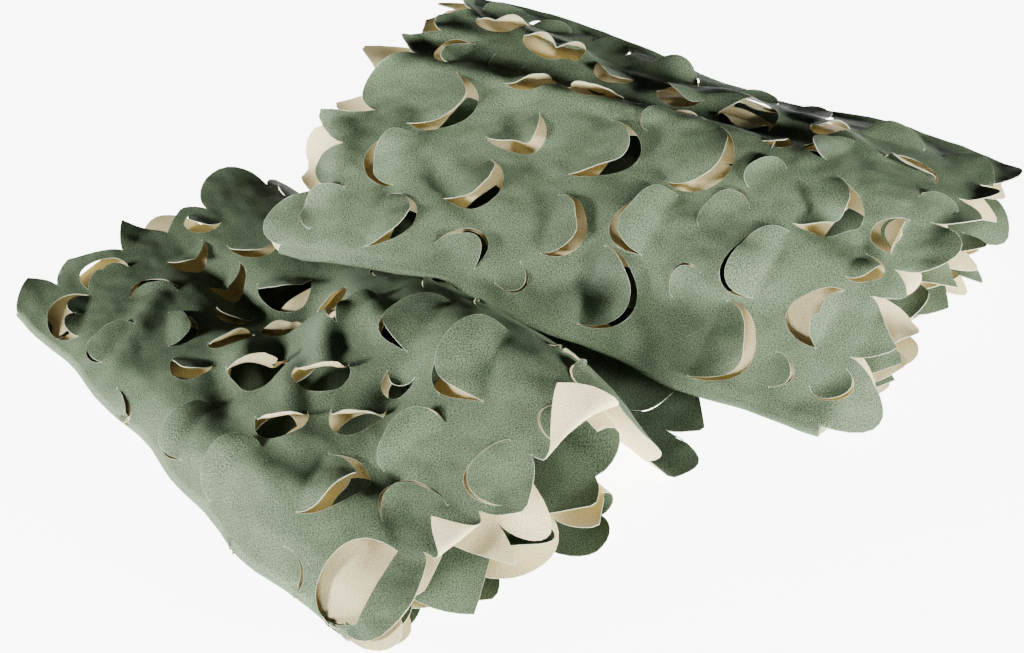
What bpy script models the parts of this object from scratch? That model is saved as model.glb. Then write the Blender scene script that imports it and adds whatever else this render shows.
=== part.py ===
"""A camouflage net: one leaf-cut sheet of double-sided cloth, folded back and forth
in two loose packs, the second laid askew over the first."""
import math

import bpy
import numpy as np
from mathutils import Vector
from mathutils.geometry import delaunay_2d_cdt

MM = 0.001
THICKNESS = 1.5 * MM
NET_WIDTH = 500.0 * MM          # along the folds, tail end to head end
MARGIN = 70.0 * MM              # how far the leaf tips may reach past either end

# Plan of the two packs: a front corner and the heading of their folds.
LOWER_CORNER = np.array([-0.112, -0.322])
LOWER_HEADING = math.radians(128.2)
UPPER_CORNER = np.array([0.250, -0.089])
UPPER_HEADING = math.radians(159.5)
RIDGE = 256.0 * MM              # where the lower pack's top layer turns down
RIDGE_DROP = 50.0 * MM          # the width of that fall
LEAST_RISE = 12.0 * MM          # the upper pack's loft where it leaves the ground
EDGE_WAVE = 3.0 * MM            # how far the packs' front folds wander
# Where the front folds bulge outwards or draw in: pack, along, half width, how far out (mm).
EDGE_BULGES = [
    ("lower", 115, 45, 9),
    ("lower", 215, 40, 8),
    ("lower", 395, 60, -7),
    ("upper", -5, 55, 11),
    ("upper", 170, 75, -15),
    ("upper", 330, 60, -4),
]
CENTRE = np.array([0.00494, 0.00827])

# Fineness of the curved surface and of its facets.
ROW_STEP = 10.0 * MM
COLUMN_STEP = 4.0 * MM
ARC_STEPS = 8
FOLD_STEPS = 4
LEAF_STEPS = 8
TIP_STEPS = {"tail": 5, "head": 4}
ROW_PITCH = 62.0 * MM
LAYER_PITCH = {"L0": 70, "L1": 50, "L2": 50, "L3": 27, "L4": 24, "U0": 42,
               "U1": 50, "U2": 55, "U3": 55, "U4": 50, "U5": 33, "U6": 26}

# Heights of each pack's top layer: columns run across, rows run along (mm).
LOWER_ACROSS = np.array([0, 22, 60, 120, 180, 230, 256]) * MM
LOWER_ALONG = np.array([-60, 0, 60, 125, 229, 320, 505, 560]) * MM
LOWER_TOP = np.array([
    [12, 15, 19, 26, 40, 56, 54],
    [14, 24, 34, 48, 72, 92, 90],
    [16, 34, 46, 62, 88, 106, 102],
    [17, 40, 52, 68, 90, 105, 98],
    [17, 38, 49, 61, 76, 83, 76],
    [15, 28, 36, 42, 50, 52, 48],
    [12, 16, 20, 25, 31, 34, 32],
    [11, 13, 16, 19, 22, 24, 24]]) * MM
UPPER_ACROSS = np.array([0, 12, 35, 75, 120, 165, 210, 255, 300]) * MM
UPPER_ALONG = np.array([-130, -60, 0, 50, 120, 250, 370, 490, 550]) * MM
UPPER_TOP = np.array([
    [10, 14, 26, 44, 56, 68, 72, 72, 66],
    [11, 19, 38, 64, 82, 96, 97, 94, 86],
    [12, 25, 54, 86, 106, 121, 117, 109, 96],
    [13, 27, 64, 102, 122, 138, 130, 118, 103],
    [13, 28, 67, 108, 130, 148, 137, 125, 105],
    [46, 58, 84, 112, 133, 154, 149, 144, 128],
    [70, 82, 100, 120, 139, 161, 162, 162, 147],
    [64, 76, 92, 112, 132, 155, 161, 165, 158],
    [56, 66, 80, 96, 113, 130, 137, 141, 137]]) * MM

# Soft creases: pack, across, along, heading from across (deg), length, width, height.
CREASES = [
    ("lower", 178, 312, 20, 70, 20, -14),
    ("lower", 130, 335, 100, 70, 18, -10),
    ("lower", 100, 285, 60, 60, 18, 9),
    ("lower", 165, 262, 110, 70, 17, 9),
    ("upper", 40, 470, 120, 60, 14, -7),
    ("upper", 230, 250, 80, 160, 16, -6),
    ("upper", 250, 120, 100, 120, 18, 6),
    ("lower", 152, 368, 92, 130, 22, -13),
    ("lower", 205, 118, 90, 150, 34, 8),
    ("upper", 235, 60, 70, 80, 12, 7),
    ("lower", 112, 262, 40, 60, 18, -7),
    ("lower", 178, 296, 100, 60, 18, -8),
    ("lower", 150, 150, 30, 60, 14, -9),
    ("lower", 190, 236, 75, 80, 12, 8),
    ("lower", 96, 216, 60, 80, 12, 7),
    ("lower", 70, 395, 35, 100, 12, 6),
    ("lower", 62, 250, 70, 110, 14, -6),
    ("lower", 84, 104, 120, 80, 13, -7),
    ("lower", 40, 150, 100, 120, 14, 6),
    ("upper", 200, 270, 93, 380, 12, -6),
    ("upper", 130, 60, 40, 90, 12, -6),
    ("upper", 235, 330, 60, 90, 12, 9),
    ("upper", 225, 200, 110, 80, 12, 8),
    ("upper", 215, 405, 100, 70, 12, 7),
    ("upper", 260, 270, 80, 100, 12, -7),
]

# Folds: pack, across, tail along, head along, wander across (mm), its phase.
FOLDS = {
    "edge": ("lower", 14, -4, 492, 0, 0.0),
    "right 1": ("lower", 236, -6, 488, 0, 0.0),
    "left 1": ("lower", 5, 0, 498, 0, 0.0),
    "right 2": ("lower", 228, -8, 498, 0, 0.0),
    "left 2": ("lower", 1, -4, 505, 0, 0.0),
    "ridge": ("lower", 256, 2, 512, 0, 0.0),
    "back 1": ("upper", 290, -54, 420, 7, 0.4),
    "front 1": ("upper", 40, -18, 470, 4, 2.0),
    "back 2": ("upper", 284, -68, 418, 8, 2.6),
    "front 2": ("upper", 48, -24, 474, 4, 4.4),
    "back 3": ("upper", 292, -78, 412, 7, 5.2),
    "front 3": ("upper", 2, -6, 486, 0, 0.0),
    "free": ("upper", 305, -78, 404, 6, 1.3),
}
# Layers: name, from fold, to fold, share of the pack's height, least gap under its top (mm),
# and how unevenly it lies (share).
LAYERS = [
    ("L0", "edge", "right 1", 0.0, None, 0.0),
    ("L1", "right 1", "left 1", 0.25, None, 0.05),
    ("L2", "left 1", "right 2", 0.50, None, 0.05),
    ("L3", "right 2", "left 2", 0.75, 6.0, 0.0),
    ("L4", "left 2", "ridge", 1.0, None, 0.0),
    ("U0", "ridge", "back 1", 0.0, None, 0.0),
    ("U1", "back 1", "front 1", 0.23, None, 0.02),
    ("U2", "front 1", "back 2", 0.37, None, 0.025),
    ("U3", "back 2", "front 2", 0.52, None, 0.03),
    ("U4", "front 2", "back 3", 0.68, None, 0.02),
    ("U5", "back 3", "front 3", 0.50, 7.0, 0.0),
    ("U6", "front 3", "free", 1.0, None, 0.0),
]

# Leaf cuts: layer, s, u, heading (0 up the layer, 90 towards the head end), radius, gap, lift.
CUTS = [
    ("U6", 104, 110, 90, 31, 5, 14),
    ("U6", 36, 118, 260, 34, 6, 18),
    ("U6", 170, 92, 262, 32, 11, 20),
    ("U6", 104, 210, 92, 31, 7, 18),
    ("U6", 40, 222, 272, 33, 5, 14),
    ("U6", 172, 204, 255, 33, 9, 20),
    ("U6", 156, 284, 265, 33, 8, 20),
    ("U6", 132, 40, 266, 18, 5, 16),
    ("U6", 174, 30, 95, 20, 8, 165),
    ("U6", 78, 278, 282, 28, 8, 20),
    ("U6", 158, 430, 258, 32, 9, 20),
    ("U6", 96, 432, 100, 29, 10, 22),
    ("U6", 36, 410, 280, 27, 5, 18),
    ("U6", 150, 356, 234, 26, 8, 22),
    ("U6", 88, 362, 250, 28, 11, 24),
    ("U6", 80, 48, 90, 26, 20, 24),
    ("U6", 26, 338, 345, 22, 5, 16),
    ("U6", 222, 452, 90, 22, 8, 20),
    ("U6", 205, 376, 250, 22, 9, 50),
    ("U6", 222, 322, 200, 24, 6, 20),
    ("U6", 235, 118, 90, 25, 5, 20),
    ("U6", 262, 62, 0, 24, 6, 172),
    ("U6", 252, 205, 0, 28, 6, 174),
    ("U6", 270, 268, 150, 22, 6, 22),
    ("U6", 268, 390, 200, 26, 8, 24),
    ("U6", 222, 160, 250, 15, 6, 26),
    ("U6", 270, 334, 180, 20, 7, 24),
    ("U6", 278, 141, 210, 17, 6, 24),
    ("U6", 280, 446, 200, 20, 7, 26),
    ("L4", 82, 466, 90, 25, 20, 20),
    ("L4", 34, 440, 135, 29, 25, 30),
    ("L4", 98, 417, 60, 20, 13, 24),
    ("L4", 152, 440, 270, 22, 6, 30),
    ("L4", 160, 392, 270, 22, 12, 30),
    ("L4", 68, 308, 200, 20, 7, 18),
    ("L4", 105, 262, 240, 27, 9, 100),
    ("L4", 136, 208, 225, 24, 9, 110),
    ("L4", 86, 193, 225, 22, 9, 105),
    ("L4", 128, 153, 225, 21, 8, 100),
    ("L4", 170, 155, 200, 15, 8, 100),
    ("L4", 194, 345, 225, 26, 9, 50),
    ("L4", 158, 303, 225, 22, 8, 100),
    ("L4", 214, 182, 105, 32, 5, 22),
    ("L4", 214, 104, 125, 38, 5, 20),
    ("L4", 140, 98, 80, 28, 5, 18),
    ("L4", 34, 187, 85, 27, 5, 16),
    ("L4", 74, 118, 300, 31, 8, 16),
    ("L4", 30, 248, 121, 26, 5, 14),
    ("L4", 36, 384, 110, 24, 5, 14),
    ("L4", 36, 34, 110, 36, 36, 0),
    ("L4", 196, 246, 90, 24, 14, 30),
    ("L4", 190, 466, 200, 18, 8, 24),
    ("L4", 84, 360, 330, 22, 5, 14),
("L3", 138, 260, 90, 32, 32, 0),
    ("L3", 108, 200, 90, 30, 30, 0),
    ("L3", 64, 142, 90, 28, 28, 0),
    ("L3", 58, 350, 90, 34, 34, 0),
]
# Ragged ends: layer, end, reach of each leaf tip past the end, curl of each tip (deg).
ENDS = [
    ("L0", "tail", (-6, 8, -4, 14), (0, 0, 0, 0)),
    ("L0", "head", (10, -4, 14, 4), (0, 0, 0, 0)),
    ("L1", "tail", (18, 12, 2, 8), (14, -12, 12, -10)),
    ("L1", "head", (6, 18, 2, 14), (0, 0, 0, 0)),
    ("L2", "tail", (6, 22, 16, 6), (14, -16, 24, 10)),
    ("L2", "head", (14, 0, 16, 6), (0, 0, 0, 0)),
    ("L3", "tail", (-30, 18, 26, -6, 20), (0, -18, 14, -16, 20)),
    ("L3", "head", (4, 24, 6, 18), (0, 0, 0, 0)),
    ("L4", "tail", (8, 22, 8, 30), (12, 166, 24, 168)),
    ("L4", "head", (12, 16, 14, 0, 20), (10, 0, 25, 0, 10)),
    ("U0", "tail", (14, 6, -18, -34, -30, 0, 8), (0, 0, 0, 0, 0, 0, 0)),
    ("U0", "head", (0, 8, 0, 8), (0, 0, 0, 0)),
    ("U1", "tail", (10, 20, 2, 14, 6), (18, -14, 25, 10, -12)),
    ("U1", "head", (10, 20, 4, 16), (0, 0, 0, 0)),
    ("U2", "tail", (10, 2, 14, 22, 10), (-16, 18, 0, -22, 14)),
    ("U2", "head", (14, 2, 16, 8), (0, 0, 0, 0)),
    ("U3", "tail", (8, 16, 12, -2, 12), (22, -18, 26, -14, 18)),
    ("U3", "head", (18, 8, 20, 4), (0, 0, 0, 0)),
    ("U4", "tail", (12, 0, 14, 12, 18), (-12, 24, -20, 16, -18)),
    ("U4", "head", (16, 4, 20, 10), (0, 0, 0, 0)),
    ("U5", "tail", (4, 16, -6, 2, 24, 14), (0, -16, 14, -24, 10, -30)),
    ("U5", "head", (24, 10, 32, 18, 36, 6), (0, 0, 0, 0, 0, 0)),
    ("U6", "tail", (26, 16, 2, 20, 14, 12, 8), (-16, 14, -12, 30, 12, 34, 20)),
    ("U6", "head", (8, 0, 20, 2, 10, 0, 12), (14, 20, 28, 12, 30, 16, 34)),
]
NOTCH = -15.0 * MM              # the ends between the leaf tips
NOTCH_DEPTH = 22.0 * MM         # and how far back they go beside a short tip
FLIP = 90.0                     # a tip that curls further than this (deg) lies back over the net
FLIP_NOTCH = 8.0 * MM           # and is cut in deeper on both sides
LOW_SPREAD = math.radians(104)  # a low leaf's cut runs this far round either side of its tip
ARCH_SPREAD = math.radians(106) # a standing leaf's
HIGH_SPREAD = math.radians(96)  # and a leaf that turns over
ROLL = 4.5 * MM                 # bending radius of a leaf that turns over
ARCH = 11.0 * MM                # and of one that stands up
FLIP_ROWS = (1.0, 5.5, 10.0, 14.5, 23.0, 34.0)


def slopes(knots, values):
    """Tangents of a smooth curve through the knots."""
    return np.gradient(values, knots, axis=0)


def smooth_curve(knots, values, x):
    """Cubic Hermite curve through the knots; one column of values per x, or one for all."""
    x = np.clip(x, knots[0], knots[-1])
    if values.ndim == 1:
        values = np.repeat(values[:, None], x.size, axis=1)
    tangent = slopes(knots, values)
    i = np.clip(np.searchsorted(knots, x, side="right") - 1, 0, len(knots) - 2)
    n = np.arange(x.size)
    h = knots[i + 1] - knots[i]
    t = (x - knots[i]) / h
    start, end = values[i, n], values[i + 1, n]
    leave, arrive = tangent[i, n] * h, tangent[i + 1, n] * h
    return ((2 * t**3 - 3 * t**2 + 1) * start + (t**3 - 2 * t**2 + t) * leave
            + (-2 * t**3 + 3 * t**2) * end + (t**3 - t**2) * arrive)


def height_table(across_knots, along_knots, heights, across, along):
    rows = np.array([smooth_curve(across_knots, row, across) for row in heights])
    return smooth_curve(along_knots, rows, along)


def pack_axes(heading):
    along = np.array([math.cos(heading), math.sin(heading)])
    return np.array([along[1], -along[0]]), along


LOWER_X, LOWER_Y = pack_axes(LOWER_HEADING)
UPPER_X, UPPER_Y = pack_axes(UPPER_HEADING)


def plan(pack, across, along):
    front = np.clip(1 - across / 0.12, 0, 1)
    wave = np.sin(along * 27 + 1.0) + 0.6 * np.sin(along * 61 + 2.2)
    across = across + EDGE_WAVE * wave * front * front
    for name, middle, width, out in EDGE_BULGES:
        if name == pack:
            across = across - out * MM * front * front * np.exp(-((along / MM - middle) / width)**2)
    if pack == "lower":
        return LOWER_CORNER + np.outer(across, LOWER_X) + np.outer(along, LOWER_Y)
    return UPPER_CORNER + np.outer(across, UPPER_X) + np.outer(along, UPPER_Y)


def creases(pack, across, along):
    """Height added by the soft creases of one pack."""
    total = np.zeros_like(across)
    for name, x, y, heading, length, width, height in CREASES:
        if name != pack:
            continue
        turn = math.radians(heading)
        dx, dy = across - x * MM, along - y * MM
        run = (dx * math.cos(turn) + dy * math.sin(turn)) / (length * MM * 0.5)
        side = (-dx * math.sin(turn) + dy * math.cos(turn)) / (width * MM)
        total += height * MM * np.exp(-run**2 - side**2)
    return total


def lower_top(across, along):
    """Top of the lower pack, falling to the ground past its ridge."""
    inside = np.minimum(across, RIDGE)
    z = height_table(LOWER_ACROSS, LOWER_ALONG, LOWER_TOP, inside, along)
    z = np.maximum(z + creases("lower", inside, along), 12 * MM)
    fall = np.clip((across - RIDGE) / RIDGE_DROP, 0, 1)
    return THICKNESS / 2 + (z - THICKNESS / 2) * (0.5 + 0.5 * np.cos(math.pi * fall))


def upper_top(across, along):
    z = height_table(UPPER_ACROSS, UPPER_ALONG, UPPER_TOP, across, along)
    return z + creases("upper", across, along)


def fold_line(name, w):
    """One fold's plan position: w runs 0..1 from tail to head."""
    pack, across, tail, head, wander, phase = FOLDS[name]
    along = tail + (head - tail) * w
    return pack, (across + wander * np.sin(along * 0.021 + phase)) * MM, along * MM


def layer_surface(layer, v, w):
    """Mid surface of a layer: v runs 0..1 from fold to fold, w runs 0..1 tail to head."""
    name, first, last, share, gap, uneven = layer
    pack_a, across_a, along_a = fold_line(first, w)
    pack_b, across_b, along_b = fold_line(last, w)
    across = across_a * (1 - v) + across_b * v
    along = along_a * (1 - v) + along_b * v
    if pack_a != pack_b:
        start = plan(pack_a, across_a, along_a)
        end = plan(pack_b, across_b, along_b)
        ground = start + (end - start) * v[:, None]
        offset = ground - LOWER_CORNER
        z = lower_top(np.maximum(offset @ LOWER_X, RIDGE), offset @ LOWER_Y)
        return np.column_stack([ground, z])
    ground = plan(pack_a, across, along)
    if pack_a == "lower":
        base = np.full_like(v, THICKNESS / 2)
        rise = lower_top(across, along) - base
    else:
        offset = ground - LOWER_CORNER
        base = lower_top(offset @ LOWER_X, offset @ LOWER_Y)
        loft = upper_top(across, along) - base
        rise = 0.5 * (loft + np.sqrt(loft**2 + 4 * LEAST_RISE**2))
    lie = np.sin(across * 31 + along * 17 + 9 * share) * np.clip(across / 0.12, 0, 1)
    height = (share + uneven * lie) * rise
    if gap is not None:
        height = np.maximum(height, rise - gap * MM)
    return np.column_stack([ground, base + height])


def even_resample(points, count):
    """Points at equal arc length along each column of a grid of points."""
    step = np.linalg.norm(np.diff(points, axis=0), axis=2)
    length = np.vstack([np.zeros(points.shape[1]), np.cumsum(step, axis=0)])
    result = np.empty((count, points.shape[1], 3))
    for j in range(points.shape[1]):
        target = np.linspace(0, length[-1, j], count)
        for axis in range(3):
            result[:, j, axis] = np.interp(target, length[:, j], points[:, j, axis])
    return result, float(length[-1].mean())


def fold_arc(before, after):
    """A round turn from the end of one layer to the start of the next."""
    start, end = before[-1], after[0]
    leave = start - before[-2]
    arrive = end - after[1]
    leave /= np.linalg.norm(leave, axis=1)[:, None]
    arrive /= np.linalg.norm(arrive, axis=1)[:, None]
    reach = np.linalg.norm(end - start, axis=1)[:, None] * 0.66
    t = np.linspace(0, 1, 33)[:, None, None]
    first, second = start + leave * reach, end + arrive * reach
    return (start * (1 - t)**3 + 3 * first * t * (1 - t)**2
            + 3 * second * t**2 * (1 - t) + end * t**3)


def build_grid():
    """The whole folded sheet as a grid of mid-surface points, with its flat coordinates."""
    rows = np.arange(-MARGIN, NET_WIDTH + MARGIN + ROW_STEP / 2, ROW_STEP)
    w = rows / NET_WIDTH
    v = np.linspace(0, 1, 81)
    vv, ww = np.meshgrid(v, w, indexing="ij")
    surfaces = []
    for layer in LAYERS:
        points = layer_surface(layer, vv.ravel(), ww.ravel()).reshape(len(v), len(w), 3)
        surfaces.append(even_resample(points, 81)[0])
    grids, flat, spans = [], [], {}
    position = 0.0
    for index, layer in enumerate(LAYERS):
        length = np.linalg.norm(np.diff(surfaces[index], axis=0), axis=2).sum(axis=0).mean()
        count = int(round(length / COLUMN_STEP)) + 1
        grid, length = even_resample(surfaces[index], count)
        spans[layer[0]] = (position, position + length)
        columns = position + np.linspace(0, length, count)
        if grids:
            grid, columns = grid[1:], columns[1:]
        grids.append(grid)
        flat.append(columns)
        position += length
        turns = index + 1 < len(LAYERS) and FOLDS[layer[2]][0] == FOLDS[layer[1]][0]
        if layer[2] == "ridge" or not turns:
            if layer[2] in ("ridge", "free"):
                continue
        arc, length = even_resample(fold_arc(surfaces[index], surfaces[index + 1]), ARC_STEPS + 1)
        spans["after " + layer[0]] = (position, position + length)
        grids.append(arc[1:])
        flat.append(position + np.linspace(0, length, ARC_STEPS + 1)[1:])
        position += length
    return np.concatenate(grids), np.concatenate(flat), rows, spans


def cubic_weights(t):
    return np.stack([-0.5 * t + t**2 - 0.5 * t**3, 1 - 2.5 * t**2 + 1.5 * t**3,
                     0.5 * t + 2 * t**2 - 1.5 * t**3, -0.5 * t**2 + 0.5 * t**3])


def place(s, u):
    """Mid-surface points at flat coordinates s (across the folds) and u (along them)."""
    i = np.interp(s, COLUMNS, np.arange(len(COLUMNS)))
    j = np.clip((u - ROWS[0]) / ROW_STEP, 0, len(ROWS) - 1.0)
    i0 = np.minimum(i.astype(int), len(COLUMNS) - 2)
    j0 = np.minimum(j.astype(int), len(ROWS) - 2)
    wi, wj = cubic_weights(i - i0), cubic_weights(j - j0)
    total = np.zeros((len(i), 3))
    for a in range(4):
        for b in range(4):
            node = GRID[np.clip(i0 + a - 1, 0, len(COLUMNS) - 1), np.clip(j0 + b - 1, 0, len(ROWS) - 1)]
            total += (wi[a] * wj[b])[:, None] * node
    return total


def frame_at(s, u):
    """Unit tangents across and along the folds, and the face's normal."""
    d = 0.4 * MM
    across = place(s + d, u) - place(s - d, u)
    along = place(s, u + d) - place(s, u - d)
    across /= np.linalg.norm(across, axis=1)[:, None]
    along /= np.linalg.norm(along, axis=1)[:, None]
    normal = np.cross(across, along)
    return across, along, normal / np.linalg.norm(normal, axis=1)[:, None]


def tip_bounds(name, count, seed):
    """Where one layer's leaf tips begin and end along its edge: uneven widths."""
    start, stop = SPANS[name]
    width = 1 + 0.3 * np.sin(2.1 * np.arange(count) + seed)
    return start + (stop - start) * np.concatenate([[0], np.cumsum(width)]) / width.sum()


def end_reach(s, end):
    """How far the cloth reaches past its nominal end at flat position s."""
    reach = np.full_like(s, NOTCH)
    for name, which, tips, curls in ENDS:
        if which != end:
            continue
        bounds = tip_bounds(name, len(tips), tips[0])
        padded = [tips[0], *tips, tips[-1]]
        notches = [min(min(pair) * MM - NOTCH_DEPTH, NOTCH) for pair in zip(padded[:-1], padded[1:])]
        for index in np.flatnonzero(np.array(curls) > FLIP):
            notches[index] -= FLIP_NOTCH
            notches[index + 1] -= FLIP_NOTCH
        for index, tip in enumerate(tips):
            middle = (bounds[index] + bounds[index + 1]) / 2
            half = (bounds[index + 1] - bounds[index]) / 2
            lean = 0.4 * math.sin(3.7 * index + tip)
            x = (s - middle) / half
            x = np.clip(x + lean * (1 - x * x), -1, 1)
            full = (1 - np.abs(x)**2.4)**0.55
            pointed = (1 - np.abs(x))**0.7
            share = 0.5 + 0.5 * math.sin(1.9 * index + tip)
            shape = full * share + pointed * (1 - share)
            notch = np.interp(s, bounds[index:index + 2], notches[index:index + 2])
            inside = (s > bounds[index]) & (s < bounds[index + 1])
            reach = np.where(inside, notch + (tip * MM - notch) * shape, reach)
    return reach


def end_columns(per_tip, end):
    """Flat positions that draw every leaf tip of one end."""
    columns = []
    for name, which, tips, curls in ENDS:
        if which != end:
            continue
        bounds = tip_bounds(name, len(tips), tips[0])
        for index in range(len(tips)):
            steps = 2 * per_tip if curls[index] > FLIP else per_tip
            share = 0.5 - 0.5 * np.cos(np.linspace(0, math.pi, steps + 1)[:-1])
            columns.extend(bounds[index] + (bounds[index + 1] - bounds[index]) * share)
        columns.append(bounds[-1])
    return columns


def leaf_shape(cut, points):
    """Flat outlines of one cut: its outer edge, the leaf's edge and the leaf's frame."""
    name, s, u, heading, radius, gap, lift = cut
    centre = np.array([SPANS[name][0] + s * MM, u * MM])
    turn = math.radians(heading)
    along = np.array([math.cos(turn), math.sin(turn)])
    side = np.array([-along[1], along[0]])
    spread = LOW_SPREAD
    if lift > 60:
        spread = ARCH_SPREAD if lift < 140 else HIGH_SPREAD
    angle = np.linspace(-spread, spread, points + 4 if lift > 120 else points)
    wobble = 1 + 0.05 * np.sin(3 * angle + radius) - 0.06 * (1 - np.cos(2 * angle + s))
    outer_r = radius * MM * wobble
    share = np.clip(np.cos(angle * math.pi / (2 * spread)), 0, 1)**0.95
    inner_r = outer_r - gap * MM * share
    outer = centre + np.outer(outer_r * np.cos(angle), along) + np.outer(outer_r * np.sin(angle), side)
    inner = centre + np.outer(inner_r * np.cos(angle), along) + np.outer(inner_r * np.sin(angle), side)
    if gap >= radius:
        inner = np.linspace(outer[0], outer[-1], len(angle))
    neck = radius * MM * math.cos(spread) * wobble[0]
    return outer, inner[1:-1], centre + along * neck, along, side


def inside_polygon(points, polygon):
    """True for each point inside a closed polygon."""
    x, y = points[:, 0], points[:, 1]
    inside = np.zeros(len(points), bool)
    for (ax, ay), (bx, by) in zip(polygon, np.roll(polygon, -1, axis=0)):
        if ay != by:
            inside ^= ((ay > y) != (by > y)) & (x < ax + (y - ay) * (bx - ax) / (by - ay))
    return inside


def outline_edge(end, columns):
    """One ragged end of the sheet, drawn with a few points a leaf tip."""
    s = np.unique(np.round(np.concatenate([end_columns(TIP_STEPS[end], end), columns]), 7))
    keep = np.ones(len(s), bool)
    for i in range(1, len(s)):
        if s[i] - s[i - 1] < 0.8 * MM:
            keep[i - 1 if s[i] in columns else i] = False
    s = s[keep]
    reach = end_reach(s, end)
    return np.column_stack([s, -reach if end == "tail" else NET_WIDTH + reach])


class Plan:
    """Flat points of the sheet, their joining edges, and the leaf that owns each point."""

    def __init__(self):
        self.points = []
        self.edges = []
        self.owner = []
        self.holes = []

    def add(self, batch, owners):
        start = len(self.points)
        self.points.extend(batch)
        self.owner.extend(owners)
        return start

    def add_ring(self, ring, owners):
        start = self.add(ring, owners)
        count = len(ring)
        self.edges.extend((start + i, start + (i + 1) % count) for i in range(count))

    def clear(self, batch, taken, distance):
        """The points that keep a distance from those taken and lie outside every hole."""
        gap = np.linalg.norm(batch[:, None] - taken[None], axis=2).min(axis=1)
        keep = gap > distance
        for ring in self.holes:
            near = np.flatnonzero(np.all((batch > ring.min(axis=0)) & (batch < ring.max(axis=0)), axis=1))
            if len(near):
                keep[near[inside_polygon(batch[near], ring)]] = False
        return batch[keep]


def leaf_rows(cut, neck, along, side):
    """A few points across a leaf, closest where it bends."""
    size, lift = cut[4] * MM, cut[6]
    rows = (0.45, 0.95)
    if lift > 40:
        rows = (0.25, 0.5, 0.9)
    if lift > 90:
        rows = (0.16, 0.32, 0.5, 0.85)
    return np.array([neck + size * (along * row + side * off) for row in rows for off in (-0.42, 0.42)])


def layer_points(name, pitch):
    """A staggered lattice over one layer."""
    start, stop = SPANS[name]
    across = max(2, round((stop - start) / pitch))
    along = max(2, round(NET_WIDTH / pitch))
    lattice = []
    for i in range(1, across):
        shift = 0.25 + 0.5 * (i % 2)
        lattice.extend((start + (stop - start) * i / across, NET_WIDTH * (j + shift) / along)
                       for j in range(along) if j + shift < along)
    return np.array(lattice)


def flat_sheet():
    """The sheet laid flat: points, triangles, the leaf of each point and the leaves' frames."""
    columns = []
    for name, (start, stop) in SPANS.items():
        steps = FOLD_STEPS if name.startswith("after") else 1
        columns.extend(np.linspace(start, stop, steps + 1))
    columns = np.unique(np.round(columns, 7))
    tail, head = outline_edge("tail", columns), outline_edge("head", columns)
    rows = np.arange(ROW_PITCH / 2, NET_WIDTH, ROW_PITCH)
    free = np.column_stack([np.full(len(rows), columns[-1]), rows])
    hidden = np.column_stack([np.full(len(rows), columns[0]), rows[::-1]])
    border = np.vstack([tail, free, head[::-1], hidden])
    sheet = Plan()
    sheet.add_ring(border, [-1] * len(border))

    frames, leaves = [], []
    for index, cut in enumerate(CUTS):
        outer, inner, neck, along, side = leaf_shape(cut, LEAF_STEPS)
        ring = np.vstack([outer, inner[::-1]])
        sheet.add_ring(ring, [-1] * len(outer) + [index] * len(inner))
        sheet.holes.append(ring)
        leaves.append(np.vstack([outer[:1], inner, outer[-1:]]))
        frames.append((neck, along, side))
    taken = np.array(sheet.points)
    for index, cut in enumerate(CUTS):
        batch = leaf_rows(cut, *frames[index])
        batch = sheet.clear(batch[inside_polygon(batch, leaves[index])], taken, 2.5 * MM)
        sheet.add(batch, [index] * len(batch))
    for name, end, tips, curls in ENDS:
        bounds = tip_bounds(name, len(tips), tips[0])
        for index in np.flatnonzero(np.array(curls) > FLIP):
            low, high = bounds[index:index + 2]
            middle, half = (low + high) / 2, (high - low) / 2
            batch = np.array([(middle + half * across, -NOTCH - past * MM) for past in FLIP_ROWS
                              for across in (-0.75, -0.45, -0.15, 0.15, 0.45, 0.75)])
            batch = sheet.clear(batch[inside_polygon(batch, border)], taken, 2.5 * MM)
            sheet.add(batch, [-1] * len(batch))
    for position in columns[1:-1]:
        batch = np.column_stack([np.full(len(rows), position), rows])
        first = sheet.add(batch, [-1] * len(batch))
        bottom = np.flatnonzero(np.isclose(tail[:, 0], position))[0]
        top = len(tail) + len(rows) + len(head) - 1 - np.flatnonzero(np.isclose(head[:, 0], position))[0]
        chain = [bottom, *range(first, first + len(rows)), top]
        sheet.edges.extend(zip(chain[:-1], chain[1:]))
    taken = np.array(sheet.points)
    for name, pitch in LAYER_PITCH.items():
        batch = layer_points(name, pitch * MM)
        for leaf in leaves:
            batch = batch[~inside_polygon(batch, leaf)]
        batch = sheet.clear(batch, taken, pitch * MM * 0.42)
        sheet.add(batch, [-1] * len(batch))

    result = delaunay_2d_cdt([Vector(p) for p in sheet.points], sheet.edges, [], 0, 1e-7)
    points = np.array([tuple(p) for p in result[0]])
    faces = np.array(result[2])
    owner = np.array([sheet.owner[source[0]] if source else -1 for source in result[3]])
    middle = points[faces].mean(axis=1)
    keep = inside_polygon(middle, border)
    for ring in sheet.holes:
        near = np.flatnonzero(np.all((middle > ring.min(axis=0)) & (middle < ring.max(axis=0)), axis=1))
        if len(near):
            keep[near[inside_polygon(middle[near], ring)]] = False
    faces = faces[keep]
    used = np.unique(faces)
    number = np.full(len(points), -1)
    number[used] = np.arange(len(used))
    return points[used], number[faces], owner[used], frames


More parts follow.
